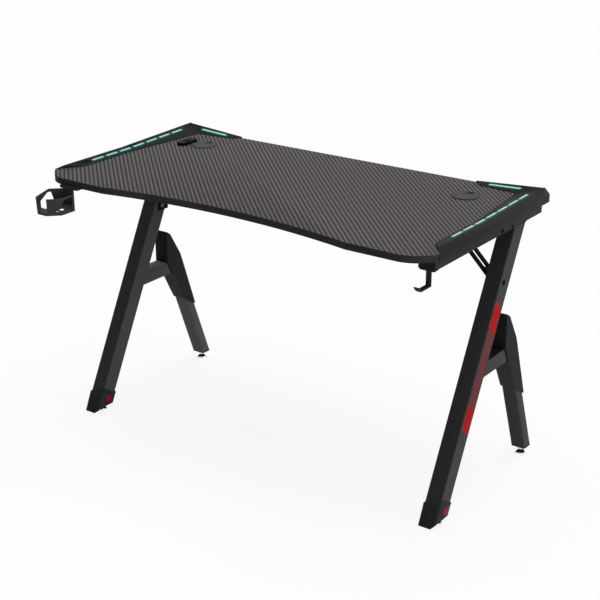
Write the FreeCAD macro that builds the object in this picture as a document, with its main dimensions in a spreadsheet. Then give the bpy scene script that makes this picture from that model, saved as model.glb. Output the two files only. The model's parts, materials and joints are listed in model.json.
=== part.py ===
"""A gaming desk on two K-shaped steel legs, built as a parametric document in millimetres.

+X is the user's right, +Y the back of the desk and +Z up. Heights count from the floor. Depths are written
from the middle of the desktop, and every body is then set back so that the origin is under the middle of the
whole desk, with its cup holder.
"""
import FreeCAD, Part
import os
import Sketcher

DRIVING_SIZES = {
    # desktop board
    "top_height": 745, "board_width": 1198, "board_depth": 610, "board_thickness": 18,
    "corner_cut": 48, "recess_width": 760, "recess_depth": 40, "recess_round": 60,
    # corner trims with their lights
    "trim_wall": 2.5, "trim_lip": 1.2, "trim_front": 54, "trim_width": 49,
    "trim_rear_width": 81, "ridge_inset": 14.5, "ridge_front": 9, "ridge_rear": 18, "shoulder_front": 0.6,
    "shoulder_rear": 3,
    "back_leg_length": 210, "back_leg_taper": 20, "back_leg_depth": 46, "back_leg_end_depth": 29,
    "back_ridge_end": 5.5, "back_tip_ridge": 4, "back_tip_depth": 8, "back_ridge_inset": 4,
    "lens_first": -139, "lens_length": 43.5, "lens_gap": 12.9, "lens_width": 7, "lens_inset": 31.5,
    "lens_proud": 0.8, "lens_play": 0.2, "back_lens_start": 74.5, "back_lens_length": 90,
    "back_lens_inset": 17.5, "led_board": 1.6,
    # cable grommets
    "grommet_inset": 169, "grommet_back": 129, "grommet_flange": 36, "grommet_rim": 2.5, "grommet_sleeve": 30,
    "grommet_wall": 2, "grommet_play": 0.3, "cap_seat": 2, "cap_radius": 32, "cap_spigot": 6,
    "cap_notch_width": 20, "cap_notch_depth": 15,
    # light control
    "control_inset": 115, "control_back": 138, "control_length": 74, "control_width": 31, "control_height": 8,
    "control_wall": 2.5, "control_round": 2.4, "control_board_length": 36, "control_board_width": 17,
    "button_radius": 6, "button_flange": 7.5, "button_flange_height": 1.4, "button_proud": 1.4,
    "button_play": 0.1,
    # steel legs
    "leg_inset": 10.4, "leg_width": 45, "leg_depth": 50, "tube_wall": 2, "tube_round": 3,
    "front_foot_y": -177.7, "front_lean": 26.9, "leg_end": 30, "leg_hole_y": 101, "leg_hole_z": 566,
    "leg_hole": 4.5, "rail_hole_y": 78, "rail_hole_drop": 19, "rail_hole": 4.5,
    "rail_height": 27, "rail_front": 57, "rail_back": 11, "plug_flange": 3, "plug_core": 6,
    "plug_play": 0.3,
    "rear_foot_y": 312.5, "rear_lean": 20.8, "rear_leg_width": 40, "rear_leg_depth": 30,
    "rear_leg_inset": 1.6, "link_bottom": 335, "link_height": 39,
    # leg shrouds
    "shroud_wall": 2.6, "shroud_play": 0.4, "spike_front": 130, "spike_top": 472, "spike_depth": 16,
    "spike_drop": 11, "shroud_kink": 389, "shroud_bend": 364, "shroud_back": 8, "shroud_chin": 234,
    "shroud_tip": 204, "shroud_round": 1.5,
    # feet
    "front_gap": 16, "rear_gap": 20, "foot_plug": 4, "cap_wall": 1.5, "cap_play": 0.3,
    "cap_front_skin": 5, "cap_toe_skin": 2.3, "cap_rear_skin": 5, "cap_front_top": 56, "cap_rear_top": 43,
    "toe_height": 4, "toe_length": 16, "toe_step": 4, "toe_cut": 13, "cap_round": 5,
    "insert_depth": 0.9, "insert_proud": 0.3, "insert_base": 18, "insert_top": 41, "insert_width": 25,
    "insert_top_width": 21, "insert_margin": 6, "insert_play": 0.1,
    "pad_radius": 19, "pad_edge": 5, "pad_height": 11, "pad_bevel": 1, "neck_radius": 8, "stud_radius": 4,
    "stud_length": 22, "stud_play": 0.05, "stud_room": 0.5, "nut_radius": 7, "nut_height": 12,
    "nut_play": 0.05, "front_pad_shift": 4.5,
    # cross frame
    "beam_depth": 50, "beam_height": 25, "beam_flange": 4, "beam_flange_depth": 100, "front_beam_y": -150,
    "rear_beam_y": 116, "beam_bolt_spread": 38,
    "brace_drop": 168, "brace_width": 40, "brace_thickness": 4, "brace_tab": 30, "brace_slot": 10,
    "brace_slot_margin": 16,
    # red stripes on the legs
    "stripe_top": 532, "stripe_bottom": 209, "stripe_margin": 3, "stripe_back_margin": 11, "stripe_slant": 16,
    "stripe_thickness": 0.5,
    # cup holder
    "cup_inset": 100, "cup_gap": 1, "cup_width": 94, "cup_depth": 107, "cup_corner": 30, "cup_wall": 3,
    "cup_height": 46, "cup_base": 3, "cup_tab": 7, "cup_tab_width": 62, "cup_tab_reach": 55,
    "cup_slot_left": 13, "cup_slot": 32, "cup_rim": 8, "cup_sill": 6, "cup_window": 28, "cup_window_shift": 2,
    "cup_window_floor": 20, "corner_sill": 16, "corner_window": 11, "corner_window_top": 6.5,
    "cup_window_slant": 17, "side_window_front": 33, "side_window_back": 18, "side_window_depth": 15,
    "side_window_slant": 19, "side_window_low": 10, "side_window_rim": 5, "cup_base_hole": 23,
    "cup_base_bar": 5, "cup_round": 4,
    # headphone hook
    "hook_inset": 33, "hook_back": 69, "hook_width": 14, "hook_steel": 3, "hook_drop": 44, "hook_reach": 41,
    "hook_lip": 13, "hook_lip_reach": 14.5, "hook_tip": 5, "hook_base_width": 40, "hook_base_depth": 22,
    "hook_screw_spread": 14,
    # screws and bolts
    "bolt_radius": 3, "bolt_head": 6, "bolt_head_height": 4, "bolt_length": 10, "board_bite": 12,
    "screw_radius": 2, "screw_head": 4, "screw_head_height": 2.5, "trim_bite": 3.5, "hole_play": 0.15,
    "end_room": 0.5,
}
# Places that keep their distance from the board's edges, as formulas in the same sheet
DERIVED_SIZES = {
    "grommet_x": "=board_width / 2 - grommet_inset", "grommet_y": "=board_depth / 2 - grommet_back",
    "control_x": "=board_width / 2 - control_inset", "control_y": "=board_depth / 2 - control_back",
    "cup_x": "=board_width / 2 - cup_inset", "hook_x": "=board_width / 2 - hook_inset",
    "hook_y": "=hook_back - board_depth / 2", "brace_low": "=top_height - brace_drop",
}
LENS_COUNT = 7
RAIL_SCREWS = (-0.33, -0.13, 0.03, 0.41)
TRIM_SCREWS = ((63, 38), (180, 14))
SIDES = {"left": -1, "right": 1}
NOSE_MITRE = 52.4
UPRIGHT = FreeCAD.Vector(0, 1, 0)

doc = FreeCAD.newDocument("gaming_desk")
sheet = doc.addObject("Spreadsheet::Sheet", "Size")
for row, (alias, value) in enumerate((DRIVING_SIZES | DERIVED_SIZES).items(), start=1):
    sheet.set(f"A{row}", alias)
    sheet.set(f"B{row}", str(value))
    sheet.setAlias(f"B{row}", alias)
doc.recompute()

# Places that several pieces share, as expressions on the sheet
TOP = "Size.top_height"
UNDER = "(Size.top_height - Size.board_thickness)"
HALF_BOARD = "(Size.board_width / 2)"
FRONT = "(-Size.board_depth / 2)"
BACK = "(Size.board_depth / 2)"
TRIM_X = "(Size.board_width / 2 + Size.trim_wall)"
TRIM_Y = "(Size.board_depth / 2 + Size.trim_wall)"
LEG_OUT = "(Size.board_width / 2 - Size.leg_inset)"
LEG_IN = f"({LEG_OUT} - Size.leg_width)"
LEG_MID = f"({LEG_OUT} - Size.leg_width / 2)"
RAIL_LOW = f"({UNDER} - Size.rail_height)"
LINK_TOP = "(Size.link_bottom + Size.link_height)"
REAR_OUT = f"({LEG_OUT} - Size.rear_leg_inset)"
REAR_IN = f"({REAR_OUT} - Size.rear_leg_width)"
REAR_MID = f"({REAR_OUT} - Size.rear_leg_width / 2)"
PLUG_TOP = "(Size.rear_gap + Size.foot_plug)"
CUP_BACK = f"({FRONT} - Size.cup_gap)"
CUP_MIDDLE = f"({CUP_BACK} - Size.cup_depth / 2)"
CUP_FRONT = f"({CUP_BACK} - Size.cup_depth)"
CUP_TOP = f"({UNDER} - Size.cup_tab)"
CUP_LOW = f"({CUP_TOP} - Size.cup_height)"
BEAM_LOW = f"({UNDER} - Size.beam_height)"
BOLT_Z = f"({UNDER} - Size.rail_height / 2)"


def front_leg(height, edge, proud="0"):
    """Depth of the front leg's face at a height: edge -1 is its front, 1 its back and 0 its axis."""
    return (f"(Size.front_foot_y + ({height}) * tan(Size.front_lean)"
            f" + {edge} * (Size.leg_depth / 2 + {proud}) / cos(Size.front_lean))")


def rear_leg(height, edge, proud="0"):
    """Depth of the rear leg's face at a height, with the same edges."""
    return (f"(Size.rear_foot_y - ({height}) * tan(Size.rear_lean)"
            f" + {edge} * (Size.rear_leg_depth / 2 + {proud}) / cos(Size.rear_lean))")


FRONT_PAD = (LEG_MID, f"({front_leg('Size.front_gap', 0)} + Size.front_pad_shift)", "Size.front_gap")
REAR_PAD = (REAR_MID, rear_leg("Size.rear_gap", 0), "Size.rear_gap")
FRAME_SETBACK = f"(-({CUP_FRONT} + {REAR_PAD[1]} + Size.pad_radius) / 2)"


def number(expression):
    """The value that an expression has now."""
    value = sheet.evalExpression(str(expression))
    return float(getattr(value, "Value", value))


def sided(side, inner, outer):
    """Lower and upper X of a span that lies from inner to outer on the given side."""
    if side > 0:
        return inner, outer
    return f"(-({outer}))", f"(-({inner}))"


def new_body(label):
    body = doc.addObject("PartDesign::Body", label)
    body.Label = label
    body.AllowCompound = True
    body.setExpression("Placement.Base.y", FRAME_SETBACK)
    return body


def new_sketch(body, plane, offset="0"):
    """A sketch on one of the body's origin planes, moved along the plane's normal."""
    sketch = body.newObject("Sketcher::SketchObject", body.Label + "_sketch")
    support = [feature for feature in body.Origin.OriginFeatures if feature.Role == plane][0]
    sketch.AttachmentSupport = [(support, "")]
    sketch.MapMode = "FlatFace"
    sketch.setExpression(".AttachmentOffset.Base.z", str(offset))
    return sketch


def place_point(sketch, geometry, corner, across, up):
    """Hold one point of a sketch at a place bound to the sheet."""
    for kind, place in (("DistanceX", across), ("DistanceY", up)):
        rule = Sketcher.Constraint(kind, -1, 1, geometry, corner, number(place))
        sketch.setExpression(f"Constraints[{sketch.addConstraint(rule)}]", str(place))


def draw_polygon(sketch, points):
    first = sketch.GeometryCount
    corners = [FreeCAD.Vector(number(across), number(up), 0) for across, up in points]
    for index, corner in enumerate(corners):
        following = corners[(index + 1) % len(corners)]
        sketch.addGeometry(Part.LineSegment(corner, following), False)
    for index, (across, up) in enumerate(points):
        place_point(sketch, first + index, 1, across, up)
        following = first + (index + 1) % len(points)
        sketch.addConstraint(Sketcher.Constraint("Coincident", first + index, 2, following, 1))


def draw_rectangle(sketch, left, right, low, high):
    draw_polygon(sketch, [(left, low), (right, low), (right, high), (left, high)])


def draw_circle(sketch, across, up, radius):
    centre = FreeCAD.Vector(number(across), number(up), 0)
    circle = Part.Circle(centre, FreeCAD.Vector(0, 0, 1), number(radius))
    index = sketch.addGeometry(circle, False)
    place_point(sketch, index, 3, across, up)
    rule = sketch.addConstraint(Sketcher.Constraint("Radius", index, number(radius)))
    sketch.setExpression(f"Constraints[{rule}]", str(radius))


def pad(body, sketch, length, backwards=False):
    feature = body.newObject("PartDesign::Pad", body.Label + "_pad")
    feature.Profile = sketch
    feature.Reversed = backwards
    feature.setExpression("Length", str(length))
    doc.recompute()
    return feature


def pocket(body, sketch, length):
    """Cut against the sketch's normal, and stop unless that takes something away."""
    before = body.Shape.Volume
    feature = body.newObject("PartDesign::Pocket", body.Label + "_pocket")
    feature.Profile = sketch
    feature.setExpression("Length", str(length))
    doc.recompute()
    if not 0 < body.Shape.Volume < before - 0.01:
        raise RuntimeError(f"a pocket of {body.Label} cuts nothing or fails")
    return feature


def round_edges(body, radius, wanted):
    """Fillet the edges of the body's last feature that the test picks."""
    base = body.Tip
    names = [f"Edge{index}" for index, edge in enumerate(base.Shape.Edges, start=1) if wanted(edge)]
    feature = body.newObject("PartDesign::Fillet", body.Label + "_round")
    feature.Base = (base, names)
    feature.setExpression("Radius", str(radius))
    doc.recompute()


def loft(body, sections):
    feature = body.newObject("PartDesign::AdditiveLoft", body.Label + "_loft")
    feature.Profile = sections[0]
    feature.Sections = sections[1:]
    feature.Ruled = True
    doc.recompute()


def revolve(body, sketch):
    feature = body.newObject("PartDesign::Revolution", body.Label + "_turned")
    feature.Profile = sketch
    feature.ReferenceAxis = (sketch, ["V_Axis"])
    feature.Angle = 360
    doc.recompute()


def pad_profile(body, low, high, points):
    """Pad a side profile, drawn in depth and height, from one X to another."""
    sketch = new_sketch(body, "YZ_Plane", low)
    draw_polygon(sketch, points)
    return pad(body, sketch, f"{high} - {low}")


def cut_profile(body, low, high, points):
    """Cut a side profile from one X to another."""
    sketch = new_sketch(body, "YZ_Plane", high)
    draw_polygon(sketch, points)
    return pocket(body, sketch, f"{high} - {low}")


def pad_plan(body, low, high, *loops):
    """Pad loops drawn from above, each a list of corners, from one height to another."""
    sketch = new_sketch(body, "XY_Plane", low)
    for points in loops:
        draw_polygon(sketch, points)
    return pad(body, sketch, f"{high} - {low}")


def cut_plan(body, low, high, *loops):
    sketch = new_sketch(body, "XY_Plane", high)
    for points in loops:
        draw_polygon(sketch, points)
    return pocket(body, sketch, f"{high} - {low}")


def pad_discs(body, low, high, discs):
    """Pad circles drawn from above, each (x, y, radius)."""
    sketch = new_sketch(body, "XY_Plane", low)
    for disc in discs:
        draw_circle(sketch, *disc)
    return pad(body, sketch, f"{high} - {low}")


def drill(body, low, high, holes):
    sketch = new_sketch(body, "XY_Plane", high)
    for hole in holes:
        draw_circle(sketch, *hole)
    return pocket(body, sketch, f"{high} - {low}")


def drill_sideways(body, low, high, holes):
    """Drill along X; each hole is (y, z, radius)."""
    sketch = new_sketch(body, "YZ_Plane", high)
    for hole in holes:
        draw_circle(sketch, *hole)
    return pocket(body, sketch, f"{high} - {low}")


def box_corners(left, right, low, high):
    return [(left, low), (right, low), (right, high), (left, high)]


def add_fasteners(body, plane, seat, places, length, head, head_height, radius, towards=1):
    """Screws with their heads on a seat plane; towards says which way the shanks run along the normal."""
    shanks = new_sketch(body, plane, seat)
    for across, up in places:
        draw_circle(shanks, across, up, radius)
    pad(body, shanks, length, towards < 0)
    heads = new_sketch(body, plane, seat)
    for across, up in places:
        draw_circle(heads, across, up, head)
    pad(body, heads, head_height, towards > 0)


def along(direction):
    """A test for straight edges that run along a direction."""
    unit = FreeCAD.Vector(*direction).normalize()

    def test(edge):
        if not isinstance(edge.Curve, Part.Line):
            return False
        return abs(edge.Curve.Direction.dot(unit)) > 0.999
    return test


def trim_screw_places(side):
    return [(f"({side} * ({TRIM_X} - {across}))", f"({TRIM_Y} - {back})") for across, back in TRIM_SCREWS]


def rail_screw_places(side):
    return [(f"({side} * {LEG_MID})", f"({share} * Size.board_depth)") for share in RAIL_SCREWS]


CUP_SCREWS = [(f"(-Size.cup_x + {turn} * Size.cup_tab_width / 4)", f"({FRONT} + Size.cup_tab_reach / 2)")
              for turn in (-1, 1)]
HOOK_SCREWS = [(f"(Size.hook_x + {turn} * Size.hook_screw_spread)", "Size.hook_y") for turn in (-1, 1)]


def make_desktop():
    body = new_body("desktop")
    cut_x = f"({HALF_BOARD} - Size.corner_cut)"
    cut_y = f"({FRONT} + Size.corner_cut)"
    pad_plan(body, UNDER, TOP, [(f"(-{cut_x})", FRONT), (cut_x, FRONT), (HALF_BOARD, cut_y),
                                (HALF_BOARD, BACK), (f"(-{HALF_BOARD})", BACK), (f"(-{HALF_BOARD})", cut_y)])
    sweep = "((Size.recess_width * Size.recess_width / 4 + Size.recess_depth * Size.recess_depth)"
    sweep += " / (2 * Size.recess_depth))"
    drill(body, UNDER, TOP, [("0", f"({FRONT} + Size.recess_depth - {sweep})", sweep)])
    recess_end = number("Size.recess_width / 2")
    upright = along((0, 0, 1))
    round_edges(body, "Size.recess_round",
                lambda edge: upright(edge) and abs(abs(edge.CenterOfMass.x) - recess_end) < 1)
    bore = "(Size.grommet_sleeve + Size.grommet_play)"
    drill(body, UNDER, TOP,
          [(f"({side} * Size.grommet_x)", "Size.grommet_y", bore) for side in SIDES.values()])
    rail_hole = "(Size.bolt_radius + Size.hole_play)"
    screw_hole = "(Size.screw_radius + Size.hole_play)"
    blind = [(*place, rail_hole) for side in SIDES.values() for place in rail_screw_places(side)]
    blind += [(*place, screw_hole) for place in CUP_SCREWS]
    drill(body, UNDER, f"({UNDER} + Size.board_bite)", blind)
    drill(body, UNDER, TOP,
          [(*place, screw_hole) for side in SIDES.values() for place in trim_screw_places(side)])
    return body


def trim_section(sketch, side, inner, end, stretch="1"):
    """Cross-section of a trim's side leg at its front or rear end, measured inwards from the outer wall."""
    points = [("0", UNDER), ("0", f"({TOP} + Size.shoulder_{end})"),
              ("Size.ridge_inset", f"({TOP} + Size.ridge_{end})"), (inner, f"({TOP} + Size.trim_lip)"),
              (inner, TOP), ("Size.trim_wall", TOP), ("Size.trim_wall", UNDER)]
    draw_polygon(sketch, [(f"({side} * ({TRIM_X} - {inset}) * {stretch})", height)
                          for inset, height in points])


def back_section(sketch, inner, ridge):
    """Cross-section of a trim's back leg, measured forwards from the back wall."""
    points = [("0", UNDER), ("0", f"({TOP} + {ridge} - Size.trim_lip)"),
              ("Size.back_ridge_inset", f"({TOP} + {ridge})"), (inner, f"({TOP} + Size.trim_lip)"),
              (inner, TOP), ("Size.trim_wall", TOP), ("Size.trim_wall", UNDER)]
    draw_polygon(sketch, [(f"({TRIM_Y} - {inset})", height) for inset, height in points])


def lens_windows(side, play):
    """Outlines, seen from above, of the light windows on a trim."""
    low, high = sided(side, f"{TRIM_X} - Size.lens_inset - Size.lens_width / 2 - {play}",
                      f"{TRIM_X} - Size.lens_inset + Size.lens_width / 2 + {play}")
    windows = []
    for turn in range(LENS_COUNT):
        start = f"(Size.lens_first + {turn} * (Size.lens_length + Size.lens_gap))"
        end = f"({start} + Size.lens_length + {play})"
        windows.append(box_corners(low, high, f"({start} - {play})", end))
    left, right = sided(side, f"{TRIM_X} - Size.back_lens_start - Size.back_lens_length - {play}",
                        f"{TRIM_X} - Size.back_lens_start + {play}")
    front = f"({TRIM_Y} - Size.back_lens_inset - Size.lens_width / 2 - {play})"
    rear = f"({TRIM_Y} - Size.back_lens_inset + Size.lens_width / 2 + {play})"
    windows.append(box_corners(left, right, front, rear))
    return windows


def make_trim(name, side):
    """The side leg is lofted from a nose that is cut at a slant, and the back leg from the ridge's corner."""
    body = new_body(f"{name}_corner_trim")
    nose_depth = f"({FRONT} + Size.trim_front + {TRIM_X} * tan({NOSE_MITRE}))"
    nose = new_sketch(body, "XZ_Plane", f"(-{nose_depth})")
    slant = FreeCAD.Rotation(UPRIGHT, -side * NOSE_MITRE)
    nose.AttachmentOffset = FreeCAD.Placement(nose.AttachmentOffset.Base, slant)
    trim_section(nose, side, "Size.trim_width", "front", f"1 / cos({NOSE_MITRE})")
    sections = [nose]
    for depth, inner, end in (("0", "Size.trim_width", "front"), (TRIM_Y, "Size.trim_rear_width", "rear")):
        sections.append(new_sketch(body, "XZ_Plane", f"(-({depth}))"))
        trim_section(sections[-1], side, inner, end)
    loft(body, sections)
    taper = "(Size.back_leg_length - Size.back_leg_taper)"
    sections = []
    for inset, inner, ridge in (("Size.ridge_inset", "Size.back_leg_depth", "Size.ridge_rear"),
                                (taper, "Size.back_leg_end_depth", "Size.back_ridge_end"),
                                ("Size.back_leg_length", "Size.back_tip_depth", "Size.back_tip_ridge")):
        sections.append(new_sketch(body, "YZ_Plane", f"({side} * ({TRIM_X} - {inset}))"))
        back_section(sections[-1], inner, ridge)
    loft(body, sections)
    cut_plan(body, TOP, f"({TOP} + Size.ridge_rear * 2)", *lens_windows(side, "Size.lens_play"))
    screw_hole = "(Size.screw_radius + Size.hole_play)"
    drill(body, TOP, f"({TOP} + Size.trim_bite)", [(*place, screw_hole) for place in trim_screw_places(side)])
    return body


def slope_height(width, ridge, inset, ridge_inset):
    """Height above the desktop of a trim's sloping face, at an inset from the outer wall."""
    return f"(Size.trim_lip + ({ridge} - Size.trim_lip) * ({width} - {inset}) / ({width} - {ridge_inset}))"


def make_lenses(name, side):
    body = new_body(f"{name}_light_lenses")
    base = f"({TOP} + Size.led_board)"
    front = slope_height("Size.trim_width", "Size.ridge_front", "Size.lens_inset", "Size.ridge_inset")
    rear = slope_height("Size.trim_rear_width", "Size.ridge_rear", "Size.lens_inset", "Size.ridge_inset")
    low, high = sided(side, f"{TRIM_X} - Size.lens_inset - Size.lens_width / 2",
                      f"{TRIM_X} - Size.lens_inset + Size.lens_width / 2")
    sketch = new_sketch(body, "YZ_Plane", low)
    for turn in range(LENS_COUNT):
        start = f"(Size.lens_first + {turn} * (Size.lens_length + Size.lens_gap))"
        end = f"({start} + Size.lens_length)"
        crown = [f"({TOP} + Size.lens_proud + {front} + ({rear} - {front}) * max(0; {depth}) / {TRIM_Y})"
                 for depth in (start, end)]
        draw_polygon(sketch, [(start, base), (end, base), (end, crown[1]), (start, crown[0])])
    pad(body, sketch, "Size.lens_width")
    taper = "(Size.back_leg_length - Size.back_leg_taper)"
    near = slope_height("Size.back_leg_depth", "Size.ridge_rear", "Size.back_lens_inset",
                        "Size.back_ridge_inset")
    far = slope_height("Size.back_leg_end_depth", "Size.back_ridge_end", "Size.back_lens_inset",
                       "Size.back_ridge_inset")
    points = []
    for inset in ("Size.back_lens_start", "(Size.back_lens_start + Size.back_lens_length)"):
        share = f"(({inset} - Size.ridge_inset) / ({taper} - Size.ridge_inset))"
        crown = f"({TOP} + Size.lens_proud + {near} + ({far} - {near}) * {share})"
        points.append((f"({side} * ({TRIM_X} - {inset}))", crown))
    sketch = new_sketch(body, "XZ_Plane", f"(-({TRIM_Y} - Size.back_lens_inset + Size.lens_width / 2))")
    draw_polygon(sketch, [(points[0][0], base), points[0], points[1], (points[1][0], base)])
    pad(body, sketch, "Size.lens_width")
    return body


def make_led_boards(name, side):
    body = new_body(f"{name}_led_boards")
    pad_plan(body, TOP, f"({TOP} + Size.led_board)", *lens_windows(side, "0"))
    return body


def make_grommet(name, side):
    place = (f"({side} * Size.grommet_x)", "Size.grommet_y")
    rim = f"({TOP} + Size.grommet_rim)"
    seat = f"({rim} - Size.cap_seat)"
    ring = new_body(f"{name}_grommet_ring")
    pad_discs(ring, TOP, rim, [(*place, "Size.grommet_flange")])
    pad_discs(ring, UNDER, TOP, [(*place, "Size.grommet_sleeve")])
    drill(ring, seat, rim, [(*place, "(Size.cap_radius + Size.grommet_play)")])
    drill(ring, UNDER, rim, [(*place, "(Size.grommet_sleeve - Size.grommet_wall)")])
    cap = new_body(f"{name}_grommet_cap")
    pad_discs(cap, seat, rim, [(*place, "Size.cap_radius")])
    spigot = "(Size.grommet_sleeve - Size.grommet_wall - Size.grommet_play)"
    pad_discs(cap, f"({seat} - Size.cap_spigot)", seat, [(*place, spigot)])
    half = "Size.cap_notch_width / 2"
    notch = box_corners(f"({place[0]} - {half})", f"({place[0]} + {half})",
                        f"({place[1]} + Size.cap_radius - Size.cap_notch_depth)",
                        f"({place[1]} + Size.cap_radius * 2)")
    cut_plan(cap, f"({seat} - Size.cap_spigot * 2)", rim, notch)
    return [ring, cap]


def make_light_control():
    middle = ("(-Size.control_x)", "Size.control_y")
    crown = f"({TOP} + Size.control_height)"
    ceiling = f"({crown} - Size.control_wall)"
    half = "Size.control_width / 2"
    straight = "(Size.control_length - Size.control_width) / 2"
    housing = new_body("light_control_housing")
    pad_plan(housing, TOP, crown, box_corners(f"({middle[0]} - {half})", f"({middle[0]} + {half})",
                                              f"({middle[1]} - {straight})", f"({middle[1]} + {straight})"))
    for end in (-1, 1):
        pad_discs(housing, TOP, crown, [(middle[0], f"({middle[1]} + {end} * {straight})", half)])
    crown_now = number(crown)
    round_edges(housing, "Size.control_round", lambda edge: edge.BoundBox.ZMin > crown_now - 0.01)
    room = [f"({middle[axis]} {sign} Size.control_board_{size} / 2 {sign} Size.button_play)"
            for axis, size in ((0, "width"), (1, "length")) for sign in "-+"]
    cut_plan(housing, TOP, ceiling, box_corners(*room))
    drill(housing, TOP, crown, [(*middle, "(Size.button_radius + Size.button_play)")])
    button = new_body("light_control_button")
    flange = f"({ceiling} - Size.button_play)"
    pad_discs(button, f"({flange} - Size.button_flange_height)", flange, [(*middle, "Size.button_flange")])
    pad_discs(button, flange, f"({crown} + Size.button_proud)", [(*middle, "Size.button_radius")])
    board = new_body("light_control_board")
    plate = [f"({middle[axis]} {sign} Size.control_board_{size} / 2)"
             for axis, size in ((0, "width"), (1, "length")) for sign in "-+"]
    pad_plan(board, TOP, f"({TOP} + Size.led_board)", box_corners(*plate))
    return [housing, button, board]


def make_rail(name, side):
    low, high = sided(side, LEG_IN, LEG_OUT)
    ends = (f"({FRONT} + Size.rail_front)", f"({BACK} - Size.rail_back)")
    tube = (f"({ends[0]} + Size.plug_flange)", f"({ends[1]} - Size.plug_flange)")
    rail = new_body(f"{name}_side_rail")
    pad_profile(rail, low, high, box_corners(*tube, RAIL_LOW, UNDER))
    inner_low, inner_high = f"({low} + Size.tube_wall)", f"({high} - Size.tube_wall)"
    cut_profile(rail, inner_low, inner_high, box_corners(f"({tube[0]} - 1)", f"({tube[1]} + 1)",
                                                         f"({RAIL_LOW} + Size.tube_wall)",
                                                         f"({UNDER} - Size.tube_wall)"))
    hole = "(Size.bolt_radius + Size.hole_play)"
    drill(rail, RAIL_LOW, UNDER, [(*place, hole) for place in rail_screw_places(side)])
    wall_low, wall_high = sided(side, LEG_IN, f"({LEG_IN} + Size.tube_wall)")
    drill_sideways(rail, wall_low, wall_high, [(depth, BOLT_Z, hole) for depth in beam_bolt_depths()])
    wall_low, wall_high = sided(side, f"({LEG_OUT} - Size.tube_wall)", LEG_OUT)
    drill_sideways(rail, wall_low, wall_high, [("Size.rail_hole_y", f"({UNDER} - Size.rail_hole_drop)",
                                                "Size.rail_hole")])
    if side > 0:
        small_hole = "(Size.screw_radius + Size.hole_play)"
        drill(rail, RAIL_LOW, f"({RAIL_LOW} + Size.tube_wall)",
              [(*place, small_hole) for place in HOOK_SCREWS])
    plugs = new_body(f"{name}_rail_end_plugs")
    core_low, core_high = f"({inner_low} + Size.plug_play)", f"({inner_high} - Size.plug_play)"
    core_heights = (f"({RAIL_LOW} + Size.tube_wall + Size.plug_play)",
                    f"({UNDER} - Size.tube_wall - Size.plug_play)")
    for end, start, core in ((ends[0], tube[0], f"({tube[0]} + Size.plug_core)"),
                             (ends[1], tube[1], f"({tube[1]} - Size.plug_core)")):
        flange = (end, start) if end == ends[0] else (start, end)
        stub = (start, core) if end == ends[0] else (core, start)
        pad_profile(plugs, low, high, box_corners(*flange, RAIL_LOW, UNDER))
        pad_profile(plugs, core_low, core_high, box_corners(*stub, *core_heights))
    return [rail, plugs]


def beam_bolt_depths():
    return [f"(Size.{beam}_beam_y + {turn} * Size.beam_bolt_spread)"
            for beam in ("front", "rear") for turn in (-1, 1)]


def make_beam(name):
    middle = f"Size.{name}_beam_y"
    body = new_body(f"{name}_crossbeam")
    tube = (f"({middle} - Size.beam_depth / 2)", f"({middle} + Size.beam_depth / 2)")
    pad_profile(body, f"(-{LEG_IN})", LEG_IN, box_corners(*tube, BEAM_LOW, UNDER))
    flange = (f"({middle} - Size.beam_flange_depth / 2)", f"({middle} + Size.beam_flange_depth / 2)")
    hole = "(Size.bolt_radius + Size.hole_play)"
    for side in SIDES.values():
        low, high = sided(side, f"({LEG_IN} - Size.beam_flange)", LEG_IN)
        pad_profile(body, low, high, box_corners(*flange, RAIL_LOW, UNDER))
        places = [f"({middle} + {turn} * Size.beam_bolt_spread)" for turn in (-1, 1)]
        drill_sideways(body, low, high, [(depth, BOLT_Z, hole) for depth in places])
    inner = (f"({tube[0]} + Size.tube_wall)", f"({tube[1]} - Size.tube_wall)",
             f"({BEAM_LOW} + Size.tube_wall)", f"({UNDER} - Size.tube_wall)")
    cut_profile(body, f"(-{LEG_IN})", LEG_IN, box_corners(*inner))
    if name == "rear":
        drill(body, BEAM_LOW, f"({BEAM_LOW} + Size.tube_wall)",
              [(*brace_head_bolt(side), hole) for side in SIDES.values()])
    return body


def leg_profile(edges, low, high, proud):
    """Four corners of a leaning leg between two heights."""
    return [(edges(low, -1, proud), low), (edges(low, 1, proud), low), (edges(high, 1, proud), high),
            (edges(high, -1, proud), high)]


def leg_direction():
    """The way a front leg runs upwards."""
    return (0, number("sin(Size.front_lean)"), number("cos(Size.front_lean)"))


def make_front_leg(name, side):
    low, high = sided(side, LEG_IN, LEG_OUT)
    body = new_body(f"{name}_front_leg")
    pad_profile(body, low, high, leg_profile(front_leg, "Size.leg_end", RAIL_LOW, "0"))
    round_edges(body, "Size.tube_round", along(leg_direction()))
    cut_profile(body, f"({low} + Size.tube_wall)", f"({high} - Size.tube_wall)",
                leg_profile(front_leg, "(Size.leg_end - 1)", f"({RAIL_LOW} + 1)", "(-Size.tube_wall)"))
    wall_low, wall_high = sided(side, LEG_IN, f"({LEG_IN} + Size.tube_wall)")
    drill_sideways(body, wall_low, wall_high, [(*brace_foot_bolt(), "(Size.bolt_radius + Size.hole_play)")])
    wall_low, wall_high = sided(side, f"({LEG_OUT} - Size.tube_wall)", LEG_OUT)
    drill_sideways(body, wall_low, wall_high, [("Size.leg_hole_y", "Size.leg_hole_z", "Size.leg_hole")])
    return body


def make_rear_leg(name, side):
    low, high = sided(side, REAR_IN, REAR_OUT)
    body = new_body(f"{name}_rear_leg")
    pad_profile(body, low, high, leg_profile(rear_leg, PLUG_TOP, LINK_TOP, "0"))
    cut_profile(body, f"({low} + Size.tube_wall)", f"({high} - Size.tube_wall)",
                leg_profile(rear_leg, f"({PLUG_TOP} - 1)", f"({LINK_TOP} + 1)", "(-Size.tube_wall)"))
    return body


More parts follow.
